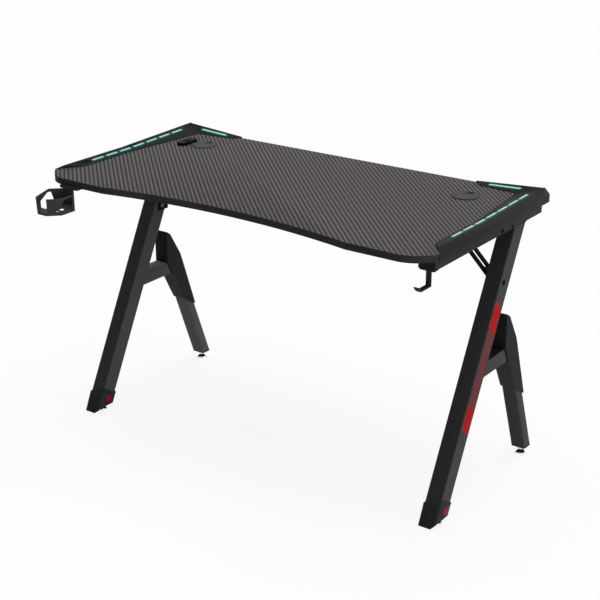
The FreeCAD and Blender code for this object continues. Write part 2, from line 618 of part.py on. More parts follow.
def link_profile(bottom, top, reach):
    """The link between two heights, from leg to leg, longer at each end by a reach."""
    return [(f"({front_leg(bottom, 1)} - {reach})", bottom), (f"({rear_leg(bottom, -1)} + {reach})", bottom),
            (f"({rear_leg(top, -1)} + {reach})", top), (f"({front_leg(top, 1)} - {reach})", top)]


def make_link(name, side):
    low, high = sided(side, REAR_IN, REAR_OUT)
    body = new_body(f"{name}_leg_link")
    pad_profile(body, low, high, link_profile("Size.link_bottom", LINK_TOP, "0"))
    cut_profile(body, f"({low} + Size.tube_wall)", f"({high} - Size.tube_wall)",
                link_profile("(Size.link_bottom + Size.tube_wall)", f"({LINK_TOP} - Size.tube_wall)", "1"))
    return body


def make_shroud(name, side):
    skin = "(Size.shroud_wall + Size.shroud_play)"
    low, high = sided(side, f"({REAR_IN} - {skin})", f"({REAR_OUT} + {skin})")
    body = new_body(f"{name}_leg_shroud")
    pad_profile(body, low, high, [
        ("Size.spike_front", "Size.spike_top"), ("Size.spike_front", LINK_TOP),
        (rear_leg("Size.shroud_chin", -1, skin), "Size.shroud_chin"),
        (rear_leg("Size.shroud_tip", 1, skin), "Size.shroud_tip"),
        (rear_leg("Size.shroud_bend", 1, "Size.shroud_back"), "Size.shroud_bend"),
        (rear_leg("Size.shroud_kink", 1, "Size.shroud_back"), "Size.shroud_kink"),
        ("(Size.spike_front + Size.spike_depth)", "(Size.spike_top - Size.spike_drop)")])
    round_edges(body, "Size.shroud_round", along((1, 0, 0)))
    play_low, play_high = f"({low} + Size.shroud_wall)", f"({high} - Size.shroud_wall)"
    bottom, top = "(Size.link_bottom - Size.shroud_play)", f"({LINK_TOP} + Size.shroud_play)"
    cut_profile(body, play_low, play_high,
                leg_profile(rear_leg, "(Size.shroud_tip - Size.rear_leg_depth)", top, "Size.shroud_play"))
    cut_profile(body, play_low, play_high, [("(Size.spike_front - 1)", bottom), (rear_leg(bottom, 0), bottom),
                                            (rear_leg(top, 0), top), ("(Size.spike_front - 1)", top)])
    return body


def make_foot_cap(name, side):
    """The same moulding goes on both legs, so the cut corner of its toe is on the right of each."""
    skin = "(Size.cap_wall + Size.cap_play)"
    low, high = sided(side, f"({LEG_IN} - {skin})", f"({LEG_OUT} + {skin})")
    base, front_top, rear_top = "Size.front_gap", "Size.cap_front_top", "Size.cap_rear_top"
    toe = (front_leg("Size.toe_height", -1, "Size.cap_toe_skin"), "Size.toe_height")
    crown = (front_leg(front_top, -1, "Size.cap_front_skin"), front_top)
    cap = new_body(f"{name}_foot_cap")
    pad_profile(cap, low, high, [toe, (f"({toe[0]} + Size.toe_length)", "Size.toe_height"),
                                 (f"({toe[0]} + Size.toe_length + Size.toe_step)", base),
                                 (front_leg(base, 1, "Size.cap_rear_skin"), base),
                                 (front_leg(rear_top, 1, "Size.cap_rear_skin"), rear_top), crown])
    rear_edge = along(leg_direction())
    front_edge = along((0, number(crown[0]) - number(toe[0]), number(crown[1]) - number(toe[1])))
    round_edges(cap, "Size.cap_round", lambda edge: rear_edge(edge) or front_edge(edge))
    cut_profile(cap, f"({low} + Size.cap_wall)", f"({high} - Size.cap_wall)",
                leg_profile(front_leg, "Size.leg_end", f"({front_top} * 2)", "Size.cap_play"))
    toe_corner = new_sketch(cap, "XZ_Plane", f"(-({toe[0]} - 1))")
    draw_polygon(toe_corner, [(f"({high} - Size.toe_cut)", "(Size.toe_height - 1)"), (high, base),
                              (f"({high} + 1)", base), (f"({high} + 1)", "(Size.toe_height - 1)")])
    pocket(cap, toe_corner, "(Size.toe_length + Size.toe_step + 1)")
    place = (f"({side} * {FRONT_PAD[0]})", FRONT_PAD[1])
    drill(cap, base, f"({base} + Size.nut_height)", [(*place, "(Size.nut_radius + Size.nut_play)")])
    drill(cap, base, "Size.leg_end", [(*place, "(Size.stud_radius + Size.stud_room)")])
    inserts = new_body(f"{name}_foot_inserts")
    floors = (f"({low} + Size.insert_depth)", f"({high} - Size.insert_depth)")
    plates = (((low, floors[0]), (f"({low} - Size.insert_proud)", floors[0])),
              ((floors[1], high), (floors[1], f"({high} + Size.insert_proud)")))
    for seat, plate in plates:
        cut_profile(cap, *seat, insert_profile("0"))
        pad_profile(inserts, *plate, insert_profile("Size.insert_play"))
    return [cap, inserts]


def insert_profile(play):
    """Slanted outline of a coloured insert along the back of a foot cap."""
    back = f"(Size.cap_rear_skin - Size.insert_margin - {play})"
    corners = []
    for height, width in ((f"(Size.insert_base + {play})", "Size.insert_width"),
                          (f"(Size.insert_top - {play})", "Size.insert_top_width")):
        rear = front_leg(height, 1, back)
        corners.append([(f"({rear} - {width} + {play} * 2)", height), (rear, height)])
    return [corners[0][0], corners[0][1], corners[1][1], corners[1][0]]


def make_rear_plug(name, side):
    low, high = sided(side, REAR_IN, REAR_OUT)
    body = new_body(f"{name}_rear_foot_plug")
    pad_profile(body, low, high, leg_profile(rear_leg, "Size.rear_gap", PLUG_TOP, "0"))
    inset = "(Size.tube_wall + Size.plug_play)"
    core_top = f"({PLUG_TOP} + Size.plug_core * 2)"
    pad_profile(body, f"({low} + {inset})", f"({high} - {inset})",
                leg_profile(rear_leg, PLUG_TOP, core_top, f"(-{inset})"))
    place = (f"({side} * {REAR_PAD[0]})", REAR_PAD[1])
    drill(body, "Size.rear_gap", "(Size.rear_gap + Size.nut_height)",
          [(*place, "(Size.nut_radius + Size.nut_play)")])
    drill(body, "Size.rear_gap", core_top, [(*place, "(Size.stud_radius + Size.stud_room)")])
    return body


def make_leveller_nuts():
    body = new_body("leveller_nuts")
    for across, depth, gap in (FRONT_PAD, REAR_PAD):
        places = [(f"({side} * {across})", depth) for side in SIDES.values()]
        top = f"({gap} + Size.nut_height)"
        pad_discs(body, gap, top, [(*place, "Size.nut_radius") for place in places])
        drill(body, gap, top, [(*place, "(Size.stud_radius + Size.stud_play)") for place in places])
    return body


def make_leveller(label, side, spot):
    """A turned foot, drawn round its own axis: a bell-shaped pad, a neck up to the leg and a stud."""
    across, depth, gap = spot
    body = new_body(label)
    body.setExpression("Placement.Base.x", f"{side} * {across}")
    body.setExpression("Placement.Base.y", f"{FRAME_SETBACK} + {depth}")
    stud_top = f"({gap} + Size.stud_length)"
    sketch = new_sketch(body, "XZ_Plane")
    draw_polygon(sketch, [("0", "0"), ("(Size.pad_radius - Size.pad_bevel)", "0"),
                          ("Size.pad_radius", "Size.pad_bevel"), ("Size.pad_radius", "Size.pad_edge"),
                          ("Size.neck_radius", "Size.pad_height"),
                          ("Size.neck_radius", gap), ("Size.stud_radius", gap),
                          ("Size.stud_radius", f"({stud_top} - Size.pad_bevel)"),
                          ("(Size.stud_radius - Size.pad_bevel)", stud_top), ("0", stud_top)])
    revolve(body, sketch)
    return body


def brace_head_bolt(side):
    """Where the upper end of a brace is bolted under the rear crossbeam, as (x, y)."""
    reach = f"({BEAM_LOW} - Size.brace_low + Size.brace_tab / 2)"
    return (f"({side} * ({LEG_IN} - {reach}))", "Size.rear_beam_y")


def brace_foot_bolt():
    """Where the lower end of a brace is bolted to its leg, as (y, z)."""
    height = "(Size.brace_low - Size.brace_tab / 2)"
    return (front_leg(height, 0), height)


def make_brace(name, side):
    """A slotted strap at 45 degrees, bent flat against the leg and under the rear crossbeam at its ends."""
    body = new_body(f"{name}_brace")
    rise = f"({BEAM_LOW} - Size.brace_low)"
    skew = "(Size.brace_thickness * sqrt(2))"
    profile = [("0", "(Size.brace_low - Size.brace_tab)"), ("0", "Size.brace_low"), (rise, BEAM_LOW),
               (f"({rise} + Size.brace_tab)", BEAM_LOW),
               (f"({rise} + Size.brace_tab)", f"({BEAM_LOW} - Size.brace_thickness)"),
               (f"({rise} - Size.brace_thickness + {skew})", f"({BEAM_LOW} - Size.brace_thickness)"),
               ("Size.brace_thickness", f"(Size.brace_low + Size.brace_thickness - {skew})"),
               ("Size.brace_thickness", "(Size.brace_low - Size.brace_tab)")]
    strap = new_sketch(body, "XZ_Plane", "(-(Size.rear_beam_y + Size.brace_width / 2))")
    draw_polygon(strap, [(f"({side} * ({LEG_IN} - {run}))", height) for run, height in profile])
    pad(body, strap, "Size.brace_width")
    low, high = sided(side, f"({LEG_IN} - {rise} + Size.brace_slot_margin)",
                      f"({LEG_IN} - Size.brace_slot_margin)")
    cut_plan(body, "(Size.brace_low - Size.brace_tab)", BEAM_LOW,
             box_corners(low, high, "(Size.rear_beam_y - Size.brace_slot / 2)",
                         "(Size.rear_beam_y + Size.brace_slot / 2)"))
    hole = "(Size.bolt_radius + Size.hole_play)"
    drill(body, f"({BEAM_LOW} - Size.brace_thickness)", BEAM_LOW, [(*brace_head_bolt(side), hole)])
    tab_low, tab_high = sided(side, f"({LEG_IN} - Size.brace_thickness)", LEG_IN)
    drill_sideways(body, tab_low, tab_high, [(*brace_foot_bolt(), hole)])
    return body


def make_stripe(name, side):
    low, high = sided(side, LEG_OUT, f"({LEG_OUT} + Size.stripe_thickness)")
    body = new_body(f"{name}_leg_stripe")
    edges = {-1: "(-Size.stripe_margin)", 1: "(-Size.stripe_back_margin)"}
    corners = (("(Size.stripe_bottom + Size.stripe_slant)", -1), ("Size.stripe_bottom", 1),
               ("(Size.stripe_top - Size.stripe_slant)", 1), ("Size.stripe_top", -1))
    pad_profile(body, low, high, [(front_leg(height, edge, edges[edge]), height) for height, edge in corners])
    return body


def make_cup_holder():
    body = new_body("cup_holder")
    middle = ("(-Size.cup_x)", CUP_MIDDLE)

    def outline(inset):
        """The eight-sided outline, moved inwards everywhere by an inset."""
        wide, deep = f"(Size.cup_width / 2 - {inset})", f"(Size.cup_depth / 2 - {inset})"
        corner = f"(Size.cup_corner - {inset} * (2 - sqrt(2)))"
        quarter = ((wide, f"({deep} - {corner})"), (f"({wide} - {corner})", deep))
        order = ((1, 1, quarter), (-1, 1, quarter[::-1]), (-1, -1, quarter), (1, -1, quarter[::-1]))
        return [(f"({middle[0]} + {x} * {across})", f"({middle[1]} + {y} * {back})")
                for x, y, points in order for across, back in points]

    pad_plan(body, CUP_LOW, CUP_TOP, outline("0"))
    round_edges(body, "Size.cup_round", along((0, 0, 1)))
    cut_plan(body, f"({CUP_LOW} + Size.cup_base)", CUP_TOP, outline("Size.cup_wall"))
    half_tab = "Size.cup_tab_width / 2"
    tab = box_corners(f"({middle[0]} - {half_tab})", f"({middle[0]} + {half_tab})",
                      f"({CUP_BACK} - Size.cup_wall)", f"({FRONT} + Size.cup_tab_reach)")
    pad_plan(body, CUP_TOP, UNDER, tab)
    sill, rim = f"({CUP_LOW} + Size.cup_sill)", f"({CUP_TOP} - Size.cup_rim)"
    slot_left = f"({middle[0]} - Size.cup_slot_left)"
    slot = new_sketch(body, "XZ_Plane", f"(-({CUP_FRONT} - 1))")
    draw_rectangle(slot, slot_left, f"({slot_left} + Size.cup_slot)", sill, f"({CUP_TOP} + 1)")
    pocket(body, slot, "(Size.cup_wall + 2)")
    left_wall = f"({middle[0]} - Size.cup_width / 2)"
    window_back = f"({middle[1]} + Size.cup_window / 2 + Size.cup_window_shift)"
    window_front = f"({window_back} - Size.cup_window)"
    cut_profile(body, f"({left_wall} - 1)", f"({left_wall} + Size.cup_window_floor)",
                [(window_front, f"({CUP_LOW} - 1)"), (window_back, f"({CUP_LOW} - 1)"), (window_back, rim),
                 (window_front, f"({rim} - Size.cup_window_slant)")])
    corner = new_sketch(body, "XZ_Plane", f"(-({window_back} - 1))")
    corner_sill = f"({CUP_LOW} + Size.corner_sill)"
    draw_polygon(corner, [(f"({left_wall} - 1)", corner_sill),
                          (f"({left_wall} + Size.corner_window)", corner_sill),
                          (f"({left_wall} + Size.corner_window_top)", rim), (f"({left_wall} - 1)", rim)])
    pocket(body, corner, f"({CUP_BACK} - Size.cup_wall - {window_back})")
    right_wall = f"({middle[0]} + Size.cup_width / 2)"
    side_front = f"({middle[1]} - Size.side_window_front)"
    side_back = f"({middle[1]} + Size.side_window_back)"
    side_top = f"({CUP_TOP} - Size.side_window_rim)"
    cut_profile(body, f"({right_wall} - Size.side_window_depth)", f"({right_wall} + 1)",
                [(side_front, sill), (side_back, sill), (side_back, side_top),
                 (f"({side_front} + Size.side_window_slant)", side_top),
                 (side_front, f"({sill} + Size.side_window_low)")])
    base_top = f"({CUP_LOW} + Size.cup_base)"
    drill(body, CUP_LOW, base_top, [(*middle, "Size.cup_base_hole")])
    half_bar, half_hole = "Size.cup_base_bar / 2", "(Size.cup_base_hole + 1)"
    for wide, deep in ((half_bar, half_hole), (half_hole, half_bar)):
        pad_plan(body, CUP_LOW, base_top, box_corners(f"({middle[0]} - {wide})", f"({middle[0]} + {wide})",
                                                      f"({middle[1]} - {deep})", f"({middle[1]} + {deep})"))
    drill(body, CUP_TOP, UNDER, [(*place, "(Size.screw_radius + Size.hole_play)") for place in CUP_SCREWS])
    return body


def make_hook():
    body = new_body("headphone_hook")
    base_low = f"({RAIL_LOW} - Size.hook_steel)"
    half_base, half_depth = "Size.hook_base_width / 2", "Size.hook_base_depth / 2"
    plate = box_corners(f"(Size.hook_x - {half_base})", f"(Size.hook_x + {half_base})",
                        f"(Size.hook_y - {half_depth})", f"(Size.hook_y + {half_depth})")
    pad_plan(body, base_low, RAIL_LOW, plate)
    round_edges(body, "Size.hook_steel", along((0, 0, 1)))
    stem_front, stem_back = "(Size.hook_y - Size.hook_steel / 2)", "(Size.hook_y + Size.hook_steel / 2)"
    floor = f"({RAIL_LOW} - Size.hook_drop)"
    shelf = f"({floor} + Size.hook_steel)"
    toe = f"({stem_front} - Size.hook_reach)"
    tip = f"({toe} - Size.hook_lip_reach)"
    lip = f"({floor} + Size.hook_lip)"
    pad_profile(body, "(Size.hook_x - Size.hook_width / 2)", "(Size.hook_x + Size.hook_width / 2)",
                [(stem_back, base_low), (stem_front, base_low), (stem_front, shelf),
                 (f"({toe} + Size.hook_steel / 2)", shelf), (f"({tip} + Size.hook_tip)", lip), (tip, lip),
                 (f"({toe} - Size.hook_steel / 2)", floor), (stem_back, floor)])
    hole = "(Size.screw_radius + Size.hole_play)"
    drill(body, base_low, RAIL_LOW, [(*place, hole) for place in HOOK_SCREWS])
    return body


BOLT = ("Size.bolt_head", "Size.bolt_head_height", "Size.bolt_radius")
SCREW = ("Size.screw_head", "Size.screw_head_height", "Size.screw_radius")


def make_fasteners():
    rail_screws = new_body("desktop_screws")
    places = [place for side in SIDES.values() for place in rail_screw_places(side)]
    length = "(Size.rail_height + Size.board_bite - Size.end_room)"
    add_fasteners(rail_screws, "XY_Plane", RAIL_LOW, places, length, *BOLT)
    trim_screws = new_body("trim_screws")
    places = [place for side in SIDES.values() for place in trim_screw_places(side)]
    length = "(Size.board_thickness + Size.trim_bite - Size.end_room)"
    add_fasteners(trim_screws, "XY_Plane", UNDER, places, length, *SCREW)
    cup_screws = new_body("cup_holder_screws")
    length = "(Size.cup_tab + Size.board_bite - Size.end_room)"
    add_fasteners(cup_screws, "XY_Plane", CUP_TOP, CUP_SCREWS, length, *SCREW)
    hook_screws = new_body("hook_screws")
    seat = f"({RAIL_LOW} - Size.hook_steel)"
    add_fasteners(hook_screws, "XY_Plane", seat, HOOK_SCREWS, "Size.bolt_length", *SCREW)
    beam_bolts = new_body("crossbeam_bolts")
    brace_bolts = new_body("brace_bolts")
    for side in SIDES.values():
        seat = f"({side} * ({LEG_IN} - Size.beam_flange))"
        places = [(depth, BOLT_Z) for depth in beam_bolt_depths()]
        add_fasteners(beam_bolts, "YZ_Plane", seat, places, "Size.bolt_length", *BOLT, side)
        seat = f"({side} * ({LEG_IN} - Size.brace_thickness))"
        add_fasteners(brace_bolts, "YZ_Plane", seat, [brace_foot_bolt()], "Size.bolt_length", *BOLT, side)
    add_fasteners(brace_bolts, "XY_Plane", f"({BEAM_LOW} - Size.brace_thickness)",
                  [brace_head_bolt(side) for side in SIDES.values()], "Size.bolt_length", *BOLT)
    return [rail_screws, trim_screws, cup_screws, hook_screws, beam_bolts, brace_bolts]


def make_desk():
    pieces = [make_desktop(), *make_light_control(), make_beam("front"), make_beam("rear"),
              make_leveller_nuts(), make_cup_holder(), make_hook(), *make_fasteners()]
    for name, side in SIDES.items():
        pieces += [make_trim(name, side), make_lenses(name, side), make_led_boards(name, side),
                   *make_grommet(name, side), *make_rail(name, side), make_front_leg(name, side),
                   make_rear_leg(name, side), make_link(name, side), make_shroud(name, side),
                   *make_foot_cap(name, side), make_rear_plug(name, side), make_brace(name, side),
                   make_stripe(name, side)]
        pieces += [make_leveller(f"front_{name}_leveller", side, FRONT_PAD),
                   make_leveller(f"rear_{name}_leveller", side, REAR_PAD)]
    return pieces


def check_document(pieces):
    """Stop on any object that failed, and on any piece without a sound solid."""
    for item in doc.Objects:
        if "Invalid" in item.State or "Error" in item.State:
            raise RuntimeError(f"{item.Label} failed: {item.State}")
    for piece in pieces:
        if piece.Shape.isNull() or not piece.Shape.isValid() or not piece.Shape.Solids:
            raise RuntimeError(f"{piece.Label} has no valid solid")


desk_pieces = make_desk()
doc.recompute()
check_document(desk_pieces)
os.makedirs("parts", exist_ok=True)
for piece in desk_pieces:
    piece.Shape.exportStep(f"parts/{piece.Label}.step")
    box = piece.Shape.BoundBox
    print(f"{piece.Label}: {len(piece.Shape.Solids)} solids, x {box.XMin:.1f} {box.XMax:.1f},"
          f" y {box.YMin:.1f} {box.YMax:.1f}, z {box.ZMin:.1f} {box.ZMax:.1f}")
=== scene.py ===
"""Finishes, fine detail and studio for the gaming desk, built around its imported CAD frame. Metres, +Z up."""

import json
import math

import bmesh
import bpy
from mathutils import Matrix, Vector
from mathutils.bvhtree import BVHTree

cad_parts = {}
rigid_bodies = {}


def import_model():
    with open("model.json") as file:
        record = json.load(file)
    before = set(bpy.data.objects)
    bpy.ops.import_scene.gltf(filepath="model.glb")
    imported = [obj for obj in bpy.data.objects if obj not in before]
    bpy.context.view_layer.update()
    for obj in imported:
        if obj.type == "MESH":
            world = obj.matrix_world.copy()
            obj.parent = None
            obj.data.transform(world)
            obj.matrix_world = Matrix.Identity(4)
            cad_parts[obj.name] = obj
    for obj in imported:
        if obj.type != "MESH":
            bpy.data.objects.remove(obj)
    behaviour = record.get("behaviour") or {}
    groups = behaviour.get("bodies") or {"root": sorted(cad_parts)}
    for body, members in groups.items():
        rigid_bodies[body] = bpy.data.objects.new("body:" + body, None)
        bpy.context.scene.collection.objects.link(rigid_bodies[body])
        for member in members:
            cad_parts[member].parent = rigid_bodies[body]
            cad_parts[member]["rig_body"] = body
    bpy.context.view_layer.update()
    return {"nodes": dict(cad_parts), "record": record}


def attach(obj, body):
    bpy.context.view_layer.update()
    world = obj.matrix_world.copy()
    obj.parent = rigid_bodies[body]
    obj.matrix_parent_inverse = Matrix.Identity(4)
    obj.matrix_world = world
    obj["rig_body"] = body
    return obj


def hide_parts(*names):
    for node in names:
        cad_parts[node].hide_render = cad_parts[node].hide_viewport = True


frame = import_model()
NODES = frame["nodes"]
SLOTS = {entry["node"]: entry["material_slot"] for entry in frame["record"]["subparts"]}
SIDES = {"left": -1, "right": 1}
MM = 0.001

# The front legs: where their axis meets the floor, how far it leans back, and their depth across it
LEG_FOOT_Y = -133.15 * MM
LEG_LEAN = math.radians(26.9)
LEG_DEPTH = 50.0 * MM

# Directions of faces whose tone is painted light and shade, set by how light falls on them
UP = (0, 0, 1)
LEG_FRONT = (0, -0.89, 0.45)
REAR_LEG_FRONT = (0, -0.93, -0.36)
SHROUD_FRONT = (0, -0.88, -0.47)

# Sockets of a mix node, which has a set for each kind of data
VALUE_A, VALUE_B, COLOUR_A, COLOUR_B = 2, 3, 6, 7
VALUE_RESULT, COLOUR_RESULT = 0, 2


class Wiring:
    """Adds nodes to a tree. An input given as a socket is linked, anything else is set as its value."""

    def __init__(self, tree):
        self.tree = tree

    def add(self, kind, inputs=None, **settings):
        """A new node with its settings and with inputs by label or number."""
        node = self.tree.nodes.new(kind)
        for name, value in settings.items():
            setattr(node, name, value)
        for key, value in (inputs or {}).items():
            self.feed(node.inputs[key], value)
        return node

    def feed(self, socket, value):
        """Links or sets one input. A colour is given as red, green and blue."""
        if isinstance(value, bpy.types.NodeSocket):
            self.tree.links.new(value, socket)
        elif socket.type == "RGBA":
            socket.default_value = (*value, 1)
        else:
            socket.default_value = value

    def math(self, operation, first, second=0.0, third=0.0):
        """A value worked out from one, two or three others."""
        return self.add("ShaderNodeMath", {0: first, 1: second, 2: third}, operation=operation).outputs[0]

    def distance(self, first, second):
        """How far away a point is that lies so far along two axes."""
        squares = [self.math("POWER", side, 2.0) for side in (first, second)]
        return self.math("SQRT", self.math("ADD", *squares))

    def ramp(self, value, low, high, to_low=0.0, to_high=1.0):
        """A smooth step from to_low to to_high, while a value goes from low to high."""
        inputs = {"Value": value, "From Min": low, "From Max": high, "To Min": to_low, "To Max": to_high}
        return self.add("ShaderNodeMapRange", inputs, interpolation_type="SMOOTHSTEP").outputs["Result"]

    def mix(self, share, first, second, way="MIX"):
        """A mix of two colours."""
        inputs = {"Factor": share, COLOUR_A: first, COLOUR_B: second}
        return self.add("ShaderNodeMix", inputs, data_type="RGBA", blend_type=way).outputs[COLOUR_RESULT]

    def noise(self, place, scale, detail, stretch=None):
        """A noise from 0 to 1. stretch gives its scales along the three axes."""
        if stretch:
            place = self.add("ShaderNodeMapping", {"Vector": place, "Scale": stretch}).outputs[0]
        inputs = {"Vector": place, "Scale": scale, "Detail": detail}
        return self.add("ShaderNodeTexNoise", inputs).outputs["Fac"]

    def place(self):
        """Where a point lies, in the frame that all pieces share."""
        return self.add("ShaderNodeTexCoord").outputs["Object"]

    def split(self, vector):
        """The X, Y and Z of a vector."""
        return self.add("ShaderNodeSeparateXYZ", {0: vector}).outputs

    def turned_to(self, direction, low, high):
        """1 on faces that look in a direction, fading to 0 as the cosine between them falls to low."""
        normal = self.add("ShaderNodeNewGeometry").outputs["True Normal"]
        turn = self.add("ShaderNodeVectorMath", {0: normal, 1: direction}, operation="DOT_PRODUCT")
        return self.ramp(turn.outputs["Value"], low, high)


def new_group(name, inputs, outputs):
    """An empty shader node group with named values, its wiring, what it is given and what it puts out."""
    tree = bpy.data.node_groups.new(name, "ShaderNodeTree")
    for label, default in inputs.items():
        socket = tree.interface.new_socket(label, in_out="INPUT", socket_type="NodeSocketFloat")
        socket.default_value = default
    for label in outputs:
        tree.interface.new_socket(label, in_out="OUTPUT", socket_type="NodeSocketFloat")
    wiring = Wiring(tree)
    return tree, wiring, wiring.add("NodeGroupInput").outputs, wiring.add("NodeGroupOutput").inputs


# Surface grain: scales of the fine grain, its slow drift and its smudges, and the shares of the last two
FINE_SCALE = 900.0
DRIFT_SCALE = 5.0
DRIFT_SHARE = 0.6
SMUDGE_SCALE = 38.0
SMUDGE_SHARE = 0.7
# The span in which most of the grain's values lie
GRAIN_SPAN = (0.3, 0.7)


def make_grain_group():
    """The fine grain of a moulded or powder-coated surface, with slow drifts of tone and gloss over it."""
    tree, wiring, given, out = new_group("surface grain", {"Scale": FINE_SCALE}, ("Tone", "Gloss", "Height"))
    place = wiring.place()
    drift = wiring.noise(place, DRIFT_SCALE, detail=3.0)
    smudge = wiring.noise(place, SMUDGE_SCALE, detail=4.0)
    grain = wiring.noise(place, given["Scale"], detail=2.0)
    for label, slow, share in (("Tone", drift, DRIFT_SHARE), ("Gloss", smudge, SMUDGE_SHARE)):
        fine = wiring.math("MULTIPLY", grain, 1 - share)
        wiring.feed(out[label], wiring.math("ADD", wiring.math("MULTIPLY", slow, share), fine))
    wiring.feed(out["Height"], grain)
    return tree


# Twill: the width of a tow, tows in a repeat, and a limit between the weft's two steps and the warp's two
TOW = 3.865 * MM
TWILL_REPEAT = 4.0
WEFT_LIMIT = 1.5
# Fibres in the tows: their scale, and how it changes along and across them
FIBRE_SCALE = 700.0
FIBRE_ALONG = 0.12
FIBRE_ACROSS = 3.0


def make_twill_group():
    """A two-over-two twill: light weft floats and dark warp floats step sideways by one tow in each row."""
    tree, wiring, given, out = new_group("twill weave", {"Tow": TOW}, ("Weft", "Height", "Fibre"))
    place = wiring.place()
    across = wiring.split(place)
    column = wiring.math("DIVIDE", across["X"], given["Tow"])
    row = wiring.math("DIVIDE", across["Y"], given["Tow"])
    steps = wiring.math("ADD", wiring.math("FLOOR", column), wiring.math("FLOOR", row))
    weft = wiring.math("LESS_THAN", wiring.math("FLOORED_MODULO", steps, TWILL_REPEAT), WEFT_LIMIT)
    warp = wiring.math("SUBTRACT", 1.0, weft)

    def crown(count):
        """The arch of a tow's section, from its place in tows."""
        return wiring.math("SINE", wiring.math("MULTIPLY", wiring.math("FRACT", count), math.pi))

    def chosen(on_weft, on_warp):
        """One value on the weft floats and another on the warp floats."""
        floats = ((on_weft, weft), (on_warp, warp))
        return wiring.math("ADD", *(wiring.math("MULTIPLY", value, share) for value, share in floats))

    along_weft = wiring.noise(place, FIBRE_SCALE, detail=1.0, stretch=(FIBRE_ALONG, FIBRE_ACROSS, 1.0))
    along_warp = wiring.noise(place, FIBRE_SCALE, detail=1.0, stretch=(FIBRE_ACROSS, FIBRE_ALONG, 1.0))
    wiring.feed(out["Weft"], weft)
    wiring.feed(out["Height"], chosen(crown(row), crown(column)))
    wiring.feed(out["Fibre"], chosen(along_weft, along_warp))
    return tree


# Light lines on the corner trims
SIDE_LIGHT_X = 570.0 * MM
SIDE_LIGHT_FRONT = -94.5 * MM
SIDE_LIGHT_BACK = 287.5 * MM
BACK_LIGHT_Y = 334.5 * MM
BACK_LIGHT_INNER = 437.0 * MM
BACK_LIGHT_OUTER = 527.0 * MM
LENS_PERIOD = 56.4 * MM
LED_PITCH = 14.5 * MM
# How far their glow reaches over the moulding, and how wide the line itself is as a share of the glow's core
GLOW_CORE = 3.5 * MM
GLOW_REACH = 13.0 * MM
GLOW_LINE = 0.6


def make_glow_group():
    """How much light spills on a trim: 1 beside its light lines, fading to 0, and the line itself."""
    defaults = {"Core": GLOW_CORE, "Reach": GLOW_REACH}
    tree, wiring, given, out = new_group("light spill", defaults, ("Spill", "Line"))
    across = wiring.split(wiring.place())
    aside = wiring.math("ABSOLUTE", across["X"])

    def beyond(value, low, high):
        """How far a value lies outside a span."""
        under, over = wiring.math("SUBTRACT", low, value), wiring.math("SUBTRACT", value, high)
        return wiring.math("MAXIMUM", wiring.math("MAXIMUM", under, over), 0.0)

    side = wiring.distance(wiring.math("SUBTRACT", aside, SIDE_LIGHT_X),
                           beyond(across["Y"], SIDE_LIGHT_FRONT, SIDE_LIGHT_BACK))
    back = wiring.distance(wiring.math("SUBTRACT", across["Y"], BACK_LIGHT_Y),
                           beyond(aside, BACK_LIGHT_INNER, BACK_LIGHT_OUTER))
    nearest = wiring.math("MINIMUM", side, back)
    line = wiring.math("MULTIPLY", given["Core"], GLOW_LINE)
    wiring.feed(out["Spill"], wiring.ramp(nearest, given["Reach"], given["Core"]))
    wiring.feed(out["Line"], wiring.ramp(nearest, given["Core"], line))
    return tree


GRAIN = make_grain_group()
TWILL = make_twill_group()
GLOW = make_glow_group()


class Finish(Wiring):
    """A material with a Principled shader, and the wiring of its tree."""

    def __init__(self, name):
        self.material = bpy.data.materials.new(name)
        self.material.use_nodes = True
        self.material.node_tree.nodes.clear()
        super().__init__(self.material.node_tree)
        self.shader = self.add("ShaderNodeBsdfPrincipled")
        self.end = self.add("ShaderNodeOutputMaterial", {"Surface": self.shader.outputs[0]})

    def set(self, **inputs):
        """Feeds the shader's inputs. An underscore in a label stands for a space."""
        for label, value in inputs.items():
            self.feed(self.shader.inputs[label.replace("_", " ")], value)

    def grain(self, scale):
        """What the surface grain puts out at a scale."""
        return self.add("ShaderNodeGroup", {"Scale": scale}, node_tree=GRAIN).outputs

    def roughness(self, grain, low, high):
        """A roughness that wanders between two values."""
        return self.ramp(grain["Gloss"], *GRAIN_SPAN, low, high)

    def bump(self, height, strength, depth):
        """A normal that follows a height."""
        inputs = {"Height": height, "Strength": strength, "Distance": depth}
        return self.add("ShaderNodeBump", inputs).outputs[0]


# Cosines between which a face comes to look in a direction, and the dark teal painted on a trim under its
# painted glow
FACING_BLEND = (0.93, 0.98)
LIT_MOULDING = (0.002, 0.004, 0.004)


def grained(name, colour, tone, roughness, gloss, scale, bump, specular=0.02, lights=None, facing=None,
            **constants):
    """A finish with surface grain. tone and gloss say how far colour and roughness vary over it.
    lights gives the colours of the painted glow that spills beside a light line and in its gaps.
    facing gives a direction and the colour painted on the faces that look in it, as painted light and shade."""
    finish = Finish(name)
    grain = finish.grain(scale)
    dark, light = ([part * (1 + change) for part in colour] for change in (-tone, tone))
    shade = finish.mix(finish.ramp(grain["Tone"], *GRAIN_SPAN), dark, light)
    # Painted light and shade: faces that look in the given direction take another colour, by how light falls
    # on them
    if facing:
        direction, painted_shading = facing
        shade = finish.mix(finish.turned_to(direction, *FACING_BLEND), shade, painted_shading)
    if lights:
        # Painted light: the moulding turns dark teal and glows where the light lines' light would fall on it
        beside, between = lights
        glow = finish.add("ShaderNodeGroup", node_tree=GLOW).outputs
        shade = finish.mix(glow["Spill"], shade, LIT_MOULDING)
        spill = finish.mix(glow["Spill"], (0, 0, 0), beside)
        finish.set(Emission_Color=finish.mix(glow["Line"], spill, between), Emission_Strength=1.0)
    finish.set(Base_Color=shade, Roughness=finish.roughness(grain, roughness - gloss, roughness + gloss),
               Normal=finish.bump(grain["Height"], strength=1.0, depth=bump), Specular_IOR_Level=specular,
               **constants)
    return finish.material


